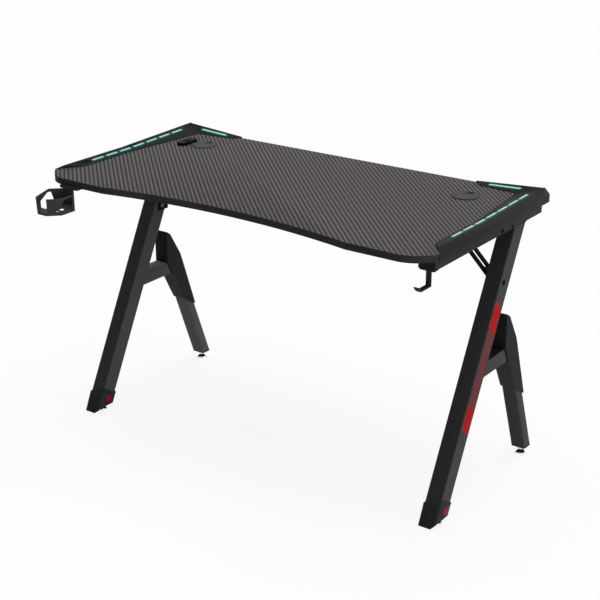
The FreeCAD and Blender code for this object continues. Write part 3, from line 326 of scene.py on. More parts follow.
# The board: colours of its tows and its edge band, how far the fibres shade them, and the relief of the weave
WARP_COLOUR = (0.048, 0.043, 0.043)
WEFT_COLOUR = (0.150, 0.138, 0.137)
BAND_COLOURS = ((0.038, 0.036, 0.036), (0.046, 0.043, 0.043))
FIBRE_SPAN = (0.25, 0.75)
FIBRE_SHADES = (0.86, 1.14)
WEAVE_STRENGTH = 0.4
WEAVE_RELIEF = 0.1 * MM
TOP_BLEND = (0.6, 0.9)


def make_laminate():
    """The board: a twill-look laminate on top, and a plain dark band on its edges and underside."""
    finish = Finish("twill laminate")
    grain = finish.grain(scale=1100.0)
    twill = finish.add("ShaderNodeGroup", {"Tow": TOW}, node_tree=TWILL).outputs
    weave = finish.mix(twill["Weft"], WARP_COLOUR, WEFT_COLOUR)
    weave = finish.mix(1.0, weave, finish.ramp(twill["Fibre"], *FIBRE_SPAN, *FIBRE_SHADES), "MULTIPLY")
    band = finish.mix(finish.ramp(grain["Tone"], *GRAIN_SPAN), *BAND_COLOURS)
    on_top = finish.turned_to(UP, *TOP_BLEND)
    height = finish.math("MULTIPLY", twill["Height"], on_top)
    finish.set(Base_Color=finish.mix(on_top, band, weave), Specular_IOR_Level=0.01,
               Roughness=finish.roughness(grain, low=0.5, high=0.6),
               Normal=finish.bump(height, WEAVE_STRENGTH, WEAVE_RELIEF))
    return finish.material


# The lenses: their own colour, their glow between the LEDs and over them, and how far it wanders
LENS_COLOUR = (0.03, 0.05, 0.048)
LENS_GLOW = ((0.23, 0.56, 0.50), (0.33, 0.69, 0.63))
LENS_WANDER = {"low": 0.2, "high": 0.8, "to_low": 0.85, "to_high": 1.0}
# The distances from an LED at which its bright spot ends and is full, as shares of the LEDs' pitch
LED_SPOT = (0.5, 0.05)


def make_lens_finish():
    """A milky diffuser, brighter over each of the LEDs behind it."""
    finish = Finish("lit diffuser")
    grain = finish.grain(scale=1500.0)
    across = finish.split(finish.place())
    from_front = finish.math("SUBTRACT", across["Y"], SIDE_LIGHT_FRONT)
    on_side = finish.math("FLOORED_MODULO", from_front, LENS_PERIOD)
    on_back = finish.math("SUBTRACT", finish.math("ABSOLUTE", across["X"]), BACK_LIGHT_INNER)
    at_back = finish.math("GREATER_THAN", across["Y"], (SIDE_LIGHT_BACK + BACK_LIGHT_Y) / 2)
    ways = {"Factor": at_back, VALUE_A: on_side, VALUE_B: on_back}
    along = finish.add("ShaderNodeMix", ways, data_type="FLOAT").outputs[VALUE_RESULT]
    phase = finish.math("FRACT", finish.math("DIVIDE", along, LED_PITCH))
    off_led = finish.math("ABSOLUTE", finish.math("SUBTRACT", phase, 0.5))
    hot = finish.math("MULTIPLY", finish.ramp(off_led, *LED_SPOT), finish.ramp(grain["Tone"], **LENS_WANDER))
    finish.set(Base_Color=LENS_COLOUR, Specular_IOR_Level=0.1,
               Roughness=finish.roughness(grain, low=0.3, high=0.45),
               Emission_Color=finish.mix(hot, *LENS_GLOW), Emission_Strength=0.9)
    return finish.material


# Heights at the film's front edge where its bright ends start and stop. They fall towards its back
FILM_UPPER = (467.0 * MM, 529.0 * MM)
FILM_LOWER = (237.0 * MM, 293.0 * MM)
FILM_FRONT = -24.6 * MM
FILM_SLANT = 0.8
FILM_BLEND = 3.0 * MM
# The tint between the ends: its middle and half width across the leg, and the share of that where it ends
FILM_MIDDLE = -3.5 * MM
FILM_EDGE = 9.5 * MM
FILM_FADE = 1.8
FILM_TINTS = ((0.165, 0.027, 0.034), (0.190, 0.032, 0.039))
FILM_BRIGHTS = ((0.40, 0.004, 0.006), (0.47, 0.005, 0.007))
FILM_CLEAR = (0.060, 0.057, 0.057)


def make_film_finish():
    """Red film on a leg's outer face: bright at both ends, a dull tint between them and clear beyond."""
    finish = Finish("red film")
    grain = finish.grain(scale=800.0)
    across = finish.split(finish.place())
    tone = finish.ramp(grain["Tone"], *GRAIN_SPAN)
    axis = finish.math("MULTIPLY_ADD", across["Z"], math.tan(LEG_LEAN), LEG_FOOT_Y)
    behind = finish.math("SUBTRACT", across["Y"], axis)
    from_edge = finish.math("SUBTRACT", behind, FILM_FRONT)
    level = finish.math("MULTIPLY_ADD", from_edge, FILM_SLANT, across["Z"])

    def within(low, high):
        """1 between two levels of the film, with soft ends."""
        start = finish.ramp(level, low - FILM_BLEND, low + FILM_BLEND)
        return finish.math("MULTIPLY", start, finish.ramp(level, high + FILM_BLEND, high - FILM_BLEND))

    ends = finish.math("MAXIMUM", within(*FILM_UPPER), within(*FILM_LOWER))
    aside = finish.math("MULTIPLY", behind, math.cos(LEG_LEAN))
    off_middle = finish.math("ABSOLUTE", finish.math("SUBTRACT", aside, FILM_MIDDLE))
    fade = finish.math("MULTIPLY", finish.ramp(off_middle, FILM_EDGE * FILM_FADE, FILM_EDGE),
                       within(FILM_LOWER[0], FILM_UPPER[1]))
    dull = finish.mix(fade, FILM_CLEAR, finish.mix(tone, *FILM_TINTS))
    finish.set(Base_Color=finish.mix(ends, dull, finish.mix(tone, *FILM_BRIGHTS)),
               Roughness=finish.roughness(grain, low=0.4, high=0.5), Specular_IOR_Level=0.02)
    return finish.material


# A foot insert: the middle of its painted highlight as (depth, height), and how far from it the highlight is
# full and fades out to the dark red
INSERT_HIGHLIGHT_CENTRE = (-112.0 * MM, 38.0 * MM)
INSERT_HIGHLIGHT_CORE = 3.0 * MM
INSERT_HIGHLIGHT_REACH = 17.0 * MM
INSERT_RED_AND_HIGHLIGHT = ((0.035, 0.005, 0.009), (0.30, 0.007, 0.023))
INSERT_WANDER = (0.75, 1.0)


def make_insert_finish():
    """Dark red moulding with a painted highlight in its middle that fades out towards its border."""
    finish = Finish("moulded red with painted highlight")
    grain = finish.grain(scale=400.0)
    across = finish.split(finish.place())
    away = finish.distance(*(finish.math("SUBTRACT", across[label], middle)
                             for label, middle in zip("YZ", INSERT_HIGHLIGHT_CENTRE)))
    # Painted highlight: bright red near the insert's middle, fading into its dark red towards the border
    spot = finish.math("MULTIPLY", finish.ramp(away, INSERT_HIGHLIGHT_REACH, INSERT_HIGHLIGHT_CORE),
                       finish.ramp(grain["Tone"], *GRAIN_SPAN, *INSERT_WANDER))
    finish.set(Base_Color=finish.mix(spot, *INSERT_RED_AND_HIGHLIGHT), Specular_IOR_Level=0.05,
               Roughness=finish.roughness(grain, low=0.28, high=0.42))
    return finish.material


# Kinds of surface, as values of a grained finish
MOULDED = {"tone": 0.15, "roughness": 0.5, "gloss": 0.06, "scale": 1400.0, "bump": 0.03 * MM}
COATED = MOULDED | {"tone": 0.12, "roughness": 0.48, "scale": 1000.0, "specular": 0.01}
DULL = MOULDED | {"scale": 1000.0}
BOARD = {"tone": 0.06, "roughness": 0.45, "gloss": 0.05, "scale": 600.0, "bump": 0.01 * MM}
POLISHED = {"tone": 0.2, "roughness": 0.12, "gloss": 0.03, "scale": 300.0, "bump": 0.002 * MM,
            "specular": 0.004}
LAMP_GLASS = {"tone": 0.2, "roughness": 0.2, "gloss": 0.05, "scale": 400.0, "bump": 0.004 * MM,
              "specular": 0.01}
METAL = {"specular": 0.5, "Metallic": 1.0}
PLATED = METAL | {"tone": 0.05, "roughness": 0.14, "gloss": 0.05, "scale": 500.0, "bump": 0.004 * MM}
BRASS = METAL | {"tone": 0.08, "roughness": 0.3, "gloss": 0.08, "scale": 500.0, "bump": 0.01 * MM}
ZINC = METAL | {"tone": 0.12, "roughness": 0.38, "gloss": 0.08, "scale": 700.0, "bump": 0.01 * MM}

FINISHES = {
    "desktop": make_laminate(),
    "trim_black": grained("moulded black", (0.023, 0.023, 0.023), **MOULDED),
    "grommet_grey": grained("moulded grey", (0.068, 0.066, 0.065), **(MOULDED | {"tone": 0.10})),
    "light_lens": make_lens_finish(),
    "circuit_board": grained("circuit board", (0.70, 0.71, 0.69), **BOARD),
    "gloss_black": grained("polished black", (0.003, 0.004, 0.004), **POLISHED),
    "black_steel": grained("powder coat", (0.059, 0.059, 0.060), **COATED),
    # The braces' coat is near black as painted shade, for the shadow under the board
    "dark_steel": grained("powder coat with painted shade", (0.008, 0.008, 0.008), **DULL, specular=0.01),
    "red_trim": make_film_finish(),
    "red_insert": make_insert_finish(),
    "bright_foot": grained("bright plating", (0.80, 0.80, 0.81), **PLATED),
    "brass_nut": grained("turned brass", (0.70, 0.47, 0.18), **BRASS),
    "dark_screw": grained("dark zinc", (0.10, 0.10, 0.105), **ZINC),
}
# Nodes whose finish differs from that of their slot
OWN_FINISHES = {
    # Both corner trims are one moulding: their different colours and glows are painted light and shade, the
    # left one darker
    "left_corner_trim": grained("left lit moulding", (0.014, 0.014, 0.0145), **MOULDED,
                                lights=((0.001, 0.044, 0.044), (0.003, 0.055, 0.055))),
    "right_corner_trim": grained("right lit moulding", (0.020, 0.020, 0.020), **MOULDED,
                                 lights=((0.001, 0.030, 0.029), (0.09, 0.30, 0.27))),
    "cup_holder": grained("holder moulding", (0.046, 0.046, 0.046), **(MOULDED | {"scale": 1200.0})),
    # The hook's coat is darker than the legs' as painted shade
    "headphone_hook": grained("hook powder coat", (0.036, 0.036, 0.036), **DULL),
    # Painted light: the left front leg is lighter than the right one; the fronts of both front legs are darker
    # as painted shade
    "left_front_leg": grained("left leg powder coat", (0.070, 0.070, 0.071), **COATED,
                              facing=(LEG_FRONT, (0.050, 0.050, 0.051))),
    "right_front_leg": grained("right leg powder coat", (0.059, 0.059, 0.060), **COATED,
                               facing=(LEG_FRONT, (0.044, 0.044, 0.045))),
    # The links are painted lighter than the legs; the left link's top lighter still as painted light, the
    # right link's top near black as a painted shadow
    "left_leg_link": grained("left link powder coat", (0.078, 0.078, 0.079), **COATED,
                             facing=(UP, (0.200, 0.200, 0.202))),
    "right_leg_link": grained("right link powder coat", (0.068, 0.068, 0.069), **COATED,
                              facing=(UP, (0.010, 0.010, 0.010))),
    # The rear legs are painted lighter than the front legs, and their fronts lighter still, as painted light
    "left_rear_leg": grained("left rear powder coat", (0.086, 0.086, 0.087), **COATED,
                             facing=(REAR_LEG_FRONT, (0.150, 0.150, 0.152))),
    "right_rear_leg": grained("right rear powder coat", (0.068, 0.068, 0.069), **COATED,
                              facing=(REAR_LEG_FRONT, (0.078, 0.078, 0.079))),
}
# The same for nodes that come in a left and a right
PAIRED_FINISHES = {
    # The rails' coat is darker than the legs' as painted shade under the board
    "side_rail": grained("shaded powder coat", (0.031, 0.031, 0.031), **(COATED | {"specular": 0.02})),
    "foot_cap": grained("foot moulding", (0.029, 0.029, 0.029), **MOULDED),
    # The shrouds' lower fronts are painted lighter, as painted light
    "leg_shroud": grained("shroud moulding", (0.023, 0.023, 0.023), **MOULDED,
                          facing=(SHROUD_FRONT, (0.060, 0.060, 0.060))),
}
OWN_FINISHES |= {f"{name}_{node}": finish for node, finish in PAIRED_FINISHES.items() for name in SIDES}


def dress_frame():
    """Gives every CAD node its own finish, or that of its slot in the record."""
    for name, node in NODES.items():
        node.data.materials.clear()
        node.data.materials.append(OWN_FINISHES.get(name) or FINISHES[SLOTS[name]])


# Turns from which an edge is sharp and up to which faces are one, and how near corners are joined
SHARP = math.radians(30)
FLAT = math.radians(0.5)
MERGE = 0.005 * MM


def new_object(name, data):
    """An object in the scene."""
    holder = bpy.data.objects.new(name, data)
    bpy.context.scene.collection.objects.link(holder)
    return holder


def add_piece(name, mesh, body, finish, slot, stands_for=()):
    """Adds a finished mesh as a piece that rides on a body, and may stand for CAD nodes."""
    piece = new_object(name, mesh)
    mesh.materials.clear()
    mesh.materials.append(finish)
    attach(piece, body)
    if stands_for:
        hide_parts(*stands_for)


def stand_in(node, name, mesh):
    """Adds a mesh that stands for a CAD node, on its body and in its finish."""
    add_piece(name, mesh, NODES[node]["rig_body"], NODES[node].data.materials[0], SLOTS[node], (node,))


def span_of(node, axis):
    """The lowest and highest place of a CAD node along an axis."""
    places = [vertex.co[axis] for vertex in NODES[node].data.vertices]
    return min(places), max(places)


def in_metres(pairs):
    """Pairs of sizes in metres, from pairs in millimetres."""
    return [(first * MM, second * MM) for first, second in pairs]


def merged_copy(node):
    """A CAD node's mesh with its shared corners joined and its flat faces whole."""
    shape = bmesh.new()
    shape.from_mesh(NODES[node].data)
    bmesh.ops.remove_doubles(shape, verts=shape.verts, dist=MERGE)
    bmesh.ops.dissolve_limit(shape, angle_limit=FLAT, verts=shape.verts, edges=shape.edges)
    return shape


def put_in_order(shape):
    """Puts a shape's corners, edges and faces in the order of their places, which each run repeats."""
    def place(part):
        """Where the corners of a part lie."""
        corners = [part] if isinstance(part, bmesh.types.BMVert) else part.verts
        return sorted(tuple(vertex.co) for vertex in corners)

    for parts in (shape.verts, shape.edges, shape.faces):
        for index, part in enumerate(sorted(parts, key=place)):
            part.index = index
        parts.sort()


def round_edges(shape, edges, width, segments=2):
    """Rounds edges of a shape."""
    bmesh.ops.bevel(shape, geom=edges, offset=width, offset_type="OFFSET", segments=segments, profile=0.5,
                    affect="EDGES", clamp_overlap=True)
    put_in_order(shape)


def bridge(shape, first, second):
    """Faces between two closed rings that have as many corners."""
    for step in range(len(first)):
        after = (step + 1) % len(first)
        shape.faces.new((first[step], first[after], second[after], second[step]))


def shaded_mesh(name, shape):
    """A mesh from an edited shape, smooth apart from its sharp edges."""
    bmesh.ops.recalc_face_normals(shape, faces=shape.faces)
    mesh = bpy.data.meshes.new(name)
    shape.to_mesh(mesh)
    shape.free()
    mesh.shade_smooth()
    mesh.set_sharp_from_angle(angle=SHARP)
    return mesh


# The board's front corners: how far back they reach, their radius, and the widest turn of a blunt corner
BOARD_FRONT = -255.0 * MM
BOARD_CORNER = 30.0 * MM
BOARD_SEGMENTS = 6
BLUNT = math.radians(60)
UPRIGHT = 0.999
SHORTEST_EDGE = 5.0 * MM


def shape_board(shape):
    """Rounds the upright edges at the board's blunt front corners."""
    def at_corner(edge):
        """Whether an edge stands at a blunt front corner."""
        first, second = (vertex.co for vertex in edge.verts)
        rise = abs(first.z - second.z)
        return (edge.is_manifold and rise > SHORTEST_EDGE and rise > edge.calc_length() * UPRIGHT
                and SHARP < edge.calc_face_angle() < BLUNT and (first.y + second.y) / 2 < BOARD_FRONT)

    round_edges(shape, [edge for edge in shape.edges if at_corner(edge)], BOARD_CORNER, BOARD_SEGMENTS)


# The cup holder: the height of its rim, the corner of the rim that lies lower, and by how much
RIM_HEIGHT = 720.0 * MM
RIM_CORNER = Vector((-536.0, -328.0, 704.0)) * MM
RIM_DROP = 10.0 * MM
# Where the cup in front of its bracket narrows to, and by what share for each metre downwards
CUP_CENTRE = Vector((-499.0, -315.0)) * MM
CUP_BRACKET = -291.0 * MM
CUP_TAPER = 1.2


def shape_cup(shape):
    """Narrows the cup downwards in front of its bracket, and lowers the outer front corner of its rim."""
    for vertex in shape.verts:
        spot = vertex.co
        if spot.y < CUP_BRACKET:
            share = CUP_TAPER * max(RIM_HEIGHT - spot.z, 0)
            spot.xy -= (spot.xy - CUP_CENTRE) * share
        if spot.x < RIM_CORNER.x and spot.y < RIM_CORNER.y and spot.z > RIM_CORNER.z:
            spot.z -= RIM_DROP


# Width of the rounded edge, in millimetres, that each CAD node gets in its finished copy
EDGE_WIDTHS = {"desktop": 1.0, "corner_trim": 1.2, "leg_shroud": 1.5, "foot_cap": 1.0, "cup_holder": 0.6,
               "headphone_hook": 0.6, "brace": 0.6, "side_rail": 0.8, "rail_end_plugs": 0.8, "rear_leg": 0.8,
               "leg_link": 0.8, "crossbeam": 0.8, "light_lenses": 0.5, "rear_foot_plug": 0.8}
SHAPERS = {"desktop": shape_board, "cup_holder": shape_cup}


def soften(node, width):
    """A copy of a CAD node with rounded edges, which stands for it."""
    shape = merged_copy(node)
    if node in SHAPERS:
        SHAPERS[node](shape)
    sharp = [edge for edge in shape.edges if edge.is_manifold and edge.calc_length() > SHORTEST_EDGE
             and edge.calc_face_angle() > SHARP]
    round_edges(shape, sharp, width * MM)
    name = f"{node}_finished"
    stand_in(node, name, shaded_mesh(name, shape))


def soften_frame():
    """Rounds the edges of the CAD nodes that have an edge width, by the ends of their names."""
    for node in NODES:
        for ending, width in EDGE_WIDTHS.items():
            if node.endswith(ending):
                soften(node, width)


HEX_TURN = math.radians(60)


def hexagon(apothem):
    """The radius of a six-sided ring, by its angle."""
    return lambda angle: apothem / math.cos(angle % HEX_TURN - HEX_TURN / 2)


def turned(name, profile, segments, centre=(0, 0, 0)):
    """A closed mesh from rings of (radius, height) round Z. A radius may be a function of the angle."""
    shape = bmesh.new()
    rings = []
    for radius, height in profile:
        ring = []
        for step in range(segments):
            angle = math.tau * step / segments
            reach = radius(angle) if callable(radius) else radius
            across = (reach * math.cos(angle), reach * math.sin(angle), height)
            ring.append(shape.verts.new(Vector(centre) + Vector(across)))
        rings.append(ring)
    for low, high in zip(rings, rings[1:]):
        bridge(shape, low, high)
    shape.faces.new(list(reversed(rings[0])))
    shape.faces.new(rings[-1])
    return shaded_mesh(name, shape)


class Growth:
    """A Geometry Nodes tree with named inputs, which is grown into a plain mesh."""

    def __init__(self, name, inputs):
        self.tree = bpy.data.node_groups.new(name, "GeometryNodeTree")
        sockets = self.tree.interface
        for way in ("OUTPUT", "INPUT"):
            sockets.new_socket("Geometry", in_out=way, socket_type="NodeSocketGeometry")
        self.identifiers = {label: sockets.new_socket(label, in_out="INPUT", socket_type=kind).identifier
                            for label, kind in (inputs | {"Finish": "NodeSocketMaterial"}).items()}
        self.wiring = Wiring(self.tree)
        self.given = self.wiring.add("NodeGroupInput").outputs

    def tube(self, path, radius, sides, capped=False):
        """A round tube along a path."""
        ring = {"Resolution": sides, "Radius": radius}
        section = self.wiring.add("GeometryNodeCurvePrimitiveCircle", ring).outputs[0]
        sweep = {"Curve": path, "Profile Curve": section, "Fill Caps": capped}
        return self.wiring.add("GeometryNodeCurveToMesh", sweep).outputs[0]

    def end(self, geometry):
        """Makes what has grown real and gives it its finish."""
        whole = self.wiring.add("GeometryNodeRealizeInstances", {"Geometry": geometry}).outputs[0]
        inputs = {"Geometry": whole, "Material": self.given["Finish"]}
        dressed = self.wiring.add("GeometryNodeSetMaterial", inputs).outputs[0]
        self.wiring.add("NodeGroupOutput", {"Geometry": dressed})

    def grow(self, name, seed, **values):
        """The mesh that the tree makes from a seed mesh and the values of its inputs."""
        holder = new_object(name, seed)
        modifier = holder.modifiers.new("growth", "NODES")
        modifier.node_group = self.tree
        for label, value in values.items():
            modifier[self.identifiers[label]] = value
        depsgraph = bpy.context.evaluated_depsgraph_get()
        mesh = bpy.data.meshes.new_from_object(holder.evaluated_get(depsgraph))
        mesh.name = name
        bpy.data.objects.remove(holder)
        return mesh


def make_fastener_growth():
    """Sets a pattern, such as a screw, on each point of the seed, turned to the point's facing."""
    growth = Growth("fasteners", {"Pattern": "NodeSocketObject"})
    wiring, given = growth.wiring, growth.given
    pattern = wiring.add("GeometryNodeObjectInfo", {"Object": given["Pattern"]}).outputs["Geometry"]
    named = {"Name": "facing"}
    facing = wiring.add("GeometryNodeInputNamedAttribute", named, data_type="FLOAT_VECTOR").outputs[0]
    turn = wiring.add("FunctionNodeAlignRotationToVector", {"Vector": facing}, axis="Z").outputs[0]
    inputs = {"Points": given["Geometry"], "Instance": pattern, "Rotation": turn}
    growth.end(wiring.add("GeometryNodeInstanceOnPoints", inputs).outputs[0])
    return growth


def set_in_seats(growth, name, pattern, seats, finish):
    """A mesh with the pattern at each seat, which is a place and a facing."""
    seed = bpy.data.meshes.new(f"{name}_seats")
    seed.from_pydata([place for place, facing in seats], [], [])
    turns = seed.attributes.new("facing", "FLOAT_VECTOR", "POINT")
    turns.data.foreach_set("vector", [part for place, facing in seats for part in facing])
    holder = new_object(f"{name}_pattern", pattern)
    mesh = growth.grow(name, seed, Pattern=holder, Finish=finish)
    bpy.data.objects.remove(holder)
    mesh.set_sharp_from_angle(angle=SHARP)
    return mesh


FASTENERS = ("desktop_screws", "trim_screws", "cup_holder_screws", "hook_screws", "crossbeam_bolts",
             "brace_bolts")
# How near corners of a screw lie in one ring
SAME = 0.02 * MM
SCREW_SEGMENTS = 24
# A screw's tip, as shares of the shank's radius, and its socket, as shares of the head's radius and height
TIP_RADIUS = 0.6
TIP_LENGTH = 0.5
SOCKET_APOTHEM = 0.42
SOCKET_DEPTH = 0.6
# The side of its head from the underside up, as shares of the head's radius and height, down from its top
HEAD_SIDE = ((0.94, 1.0), (1.0, 0.85), (1.0, 0.35), (0.93, 0.12), (0.78, 0.0))


def islands(shape):
    """The separate solids of a mesh, each as the places of its corners."""
    waiting = set(shape.verts)
    while waiting:
        pile = [waiting.pop()]
        corners = []
        while pile:
            vertex = pile.pop()
            corners.append(vertex.co.copy())
            near = {edge.other_vert(vertex) for edge in vertex.link_edges} & waiting
            waiting -= near
            pile.extend(near)
        yield corners


def read_screw(corners):
    """A CAD screw's head centre and facing, and the sizes (head, shank, head height, length) of its shape."""
    spans = [(min(c[i] for c in corners), max(c[i] for c in corners)) for i in range(3)]
    axis = max(range(3), key=lambda i: spans[i][1] - spans[i][0])
    middle = Vector((low + high) / 2 for low, high in spans)

    def reach(end):
        """Radius of the screw at one of its ends."""
        ring = [c - middle for c in corners if abs(c[axis] - end) < SAME]
        return max(math.sqrt(sum(c[i] ** 2 for i in range(3) if i != axis)) for c in ring)

    end, top = sorted(spans[axis], key=reach)
    depths = sorted(abs(c[axis] - top) for c in corners if abs(c[axis] - top) > SAME)
    head = middle.copy()
    head[axis] = top
    facing = Vector((0, 0, 0))
    facing[axis] = math.copysign(1, top - end)
    return head, facing, (reach(top), reach(end), depths[0], depths[-1])


def make_screw(name, head, shank, height, length):
    """A socket-headed screw whose head ends at the origin, facing +Z."""
    stem = [(shank * TIP_RADIUS, -length), (shank, shank * TIP_LENGTH - length), (shank, -height)]
    side = [(head * share, -height * depth) for share, depth in HEAD_SIDE]
    socket = hexagon(head * SOCKET_APOTHEM)
    return turned(name, stem + side + [(socket, 0), (socket, -height * SOCKET_DEPTH)], SCREW_SEGMENTS)


def make_fasteners(growth):
    """Screws with six-sided sockets in the places of the CAD frame's plain ones."""
    for node in FASTENERS:
        shape = merged_copy(node)
        screws = sorted(map(read_screw, islands(shape)), key=lambda screw: tuple(screw[0]))
        shape.free()
        name, finish = f"{node}_socketed", NODES[node].data.materials[0]
        pattern = make_screw(f"{name}_pattern", *screws[0][2])
        mesh = set_in_seats(growth, name, pattern, [screw[:2] for screw in screws], finish)
        stand_in(node, name, mesh)


# Plugs on the outer faces of the legs and rails, as (depth, height, radius) in millimetres
PLUGS = {"leg_hole_plugs": (145.5, 566.0, 7.2), "rail_hole_plugs": (122.5, 708.0, 6.3),
         "rail_rear_plugs": (176.0, 706.5, 4.4)}
# A plug from its stem to the top of its dome, as (share of its radius, height in millimetres)
PLUG_PROFILE = ((0.55, -1.2), (0.6, -0.8), (0.6, -0.2), (1.0, -0.2), (1.0, 0.4), (0.94, 0.8), (0.8, 1.15),
                (0.5, 1.45), (0.2, 1.55))


def make_plugs(growth):
    """Domed black plugs in the holes of the outer faces of the legs and rails."""
    finish = FINISHES["gloss_black"]
    for name, (depth, height, radius) in PLUGS.items():
        profile = in_metres((share * radius, rise) for share, rise in PLUG_PROFILE)
        seats = []
        for side_name, side in SIDES.items():
            face = span_of(f"{side_name}_front_leg", 0)[side > 0]
            seats.append(((face, depth * MM, height * MM), (side, 0, 0)))
        mesh = set_in_seats(growth, name, turned(f"{name}_pattern", profile, SCREW_SEGMENTS), seats, finish)
        add_piece(name, mesh, "desk", finish, "gloss_black")


STUD_LENGTH = 22.0 * MM
STUD_CORE = 3.5 * MM
THREAD_CREST = 0.4 * MM
THREAD_PITCH = 1.25 * MM
# The turned pad of a levelling foot up to its nut, as (radius, height) in millimetres
PAD_PROFILE = ((17.6, 0), (18.6, 0.25), (19, 0.9), (19, 4.6), (18.7, 5.2), (16.4, 6.4), (13.2, 8.1),
               (10.4, 9.7), (8.6, 10.7), (8, 11.4))
NUT_FLAT = 6.7 * MM
NUT_BEVEL = 0.7 * MM
LEVELLER_SEGMENTS = 48


def make_thread_growth():
    """A screw thread: a thin tube wound up the Z axis."""
    values = dict.fromkeys(("Radius", "Crest", "Turns", "Height"), "NodeSocketFloat")
    growth = Growth("screw thread", values | {"Place": "NodeSocketVector"})
    wiring, given = growth.wiring, growth.given
    winding = {"Resolution": 20, "Rotations": given["Turns"], "Start Radius": given["Radius"],
               "End Radius": given["Radius"], "Height": given["Height"]}
    path = wiring.add("GeometryNodeCurveSpiral", winding).outputs[0]
    tube = growth.tube(path, given["Crest"], sides=6, capped=True)
    move = {"Geometry": tube, "Translation": given["Place"]}
    growth.end(wiring.add("GeometryNodeTransform", move).outputs[0])
    return growth


def make_levellers():
    """Levelling feet with a spanner nut above the pad and a threaded stud."""
    growth = make_thread_growth()
    pad = in_metres(PAD_PROFILE)
    nut = hexagon(NUT_FLAT)
    thread_height = STUD_LENGTH - 2 * NUT_BEVEL - 2 * THREAD_CREST
    for node in [name for name in NODES if name.endswith("_leveller")]:
        x, y = (sum(span_of(node, axis)) / 2 for axis in range(2))
        top = span_of(node, 2)[1]
        gap = top - STUD_LENGTH
        finish = NODES[node].data.materials[0]
        profile = pad + [(nut, pad[-1][1]), (nut, gap - NUT_BEVEL), (NUT_FLAT - NUT_BEVEL, gap),
                         (STUD_CORE, gap), (STUD_CORE, top - NUT_BEVEL), (STUD_CORE - NUT_BEVEL, top)]
        name = f"{node}_turned"
        stand_in(node, name, turned(name, profile, LEVELLER_SEGMENTS, (x, y, 0)))
        name = f"{node}_thread"
        thread = growth.grow(name, bpy.data.meshes.new("thread_seed"), Radius=STUD_CORE, Crest=THREAD_CREST,
                             Turns=thread_height / THREAD_PITCH, Height=thread_height,
                             Place=(x, y, gap + NUT_BEVEL), Finish=finish)
        thread.shade_smooth()
        add_piece(name, thread, NODES[node]["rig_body"], finish, SLOTS[node])


def leg_face(height, edge):
    """Depth of the front legs' face at a height: edge -1 is their front and 1 their back."""
    return LEG_FOOT_Y + height * math.tan(LEG_LEAN) + edge * LEG_DEPTH / 2 / math.cos(LEG_LEAN)


def closed_paths(name, loops):
    """A seed mesh with an edge from each point of a loop to the next one."""
    corners, edges = [], []
    for loop in loops:
        start, count = len(corners), len(loop)
        corners += loop
        edges += [(start + step, start + (step + 1) % count) for step in range(count)]
    seed = bpy.data.meshes.new(name)
    seed.from_pydata(corners, edges, [])
    return seed


WELD_BEAD = 1.5 * MM
WELD_STEP = 2.0 * MM
WELD_SWELL = (0.85, 1.15)


def make_weld_growth():
    """Overlapping beads along the edges of the seed."""
    growth = Growth("weld", {"Bead": "NodeSocketFloat", "Step": "NodeSocketFloat"})
    wiring, given = growth.wiring, growth.given
    path = wiring.add("GeometryNodeMeshToCurve", {"Mesh": given["Geometry"]}).outputs[0]
    spacing = {"Curve": path, "Length": given["Step"]}
    spots = wiring.add("GeometryNodeResampleCurve", spacing, mode="LENGTH").outputs[0]
    ball = {"Segments": 8, "Rings": 5, "Radius": given["Bead"]}
    bead = wiring.add("GeometryNodeMeshUVSphere", ball).outputs[0]
    least, most = ((share,) * 3 for share in WELD_SWELL)
    spread = {0: least, 1: most, "Seed": 3}
    swell = wiring.add("FunctionNodeRandomValue", spread, data_type="FLOAT_VECTOR").outputs[0]
    inputs = {"Points": spots, "Instance": bead, "Scale": swell}
    growth.end(wiring.add("GeometryNodeInstanceOnPoints", inputs).outputs[0])
    return growth


def make_welds():
    """Weld beads round the ends of the legs under their rails, and round the links on their front legs."""
    loops = []
    for name in SIDES:
        inner, outer = span_of(f"{name}_front_leg", 0)
        rail = span_of(f"{name}_side_rail", 2)[0]
        left, right = span_of(f"{name}_leg_link", 0)
        low, high = span_of(f"{name}_leg_link", 2)
        round_leg = ((inner, -1), (outer, -1), (outer, 1), (inner, 1))
        round_link = ((left, low), (right, low), (right, high), (left, high))
        loops.append([(x, leg_face(rail, edge), rail) for x, edge in round_leg])
        loops.append([(x, leg_face(z, 1), z) for x, z in round_link])
    seed = closed_paths("weld_paths", loops)
    finish = FINISHES["black_steel"]
    mesh = make_weld_growth().grow("weld_beads", seed, Bead=WELD_BEAD, Step=WELD_STEP, Finish=finish)
    mesh.shade_smooth()
    add_piece("weld_beads", mesh, "desk", finish, "black_steel")


# The foot caps' collars: wall at the top, bite into the leg, overlap with the cap, cap's wall and rounding
COLLAR_WALL = 0.6 * MM
COLLAR_BITE = 0.5 * MM
COLLAR_OVERLAP = 1.0 * MM
COLLAR_EDGE = 0.4 * MM
CAP_WALL = 4.6 * MM
# Heights of the cap's rim at the leg's front (-1) and back (1)
CAP_RIM = {-1: 56.0 * MM, 1: 43.0 * MM}
# Heights of the collar's top at these, on the leg's left (0) and right (1), in the order round the leg
COLLAR_TOP = {(-1, 0): 58.0 * MM, (-1, 1): 73.0 * MM, (1, 1): 48.0 * MM, (1, 0): 46.0 * MM}


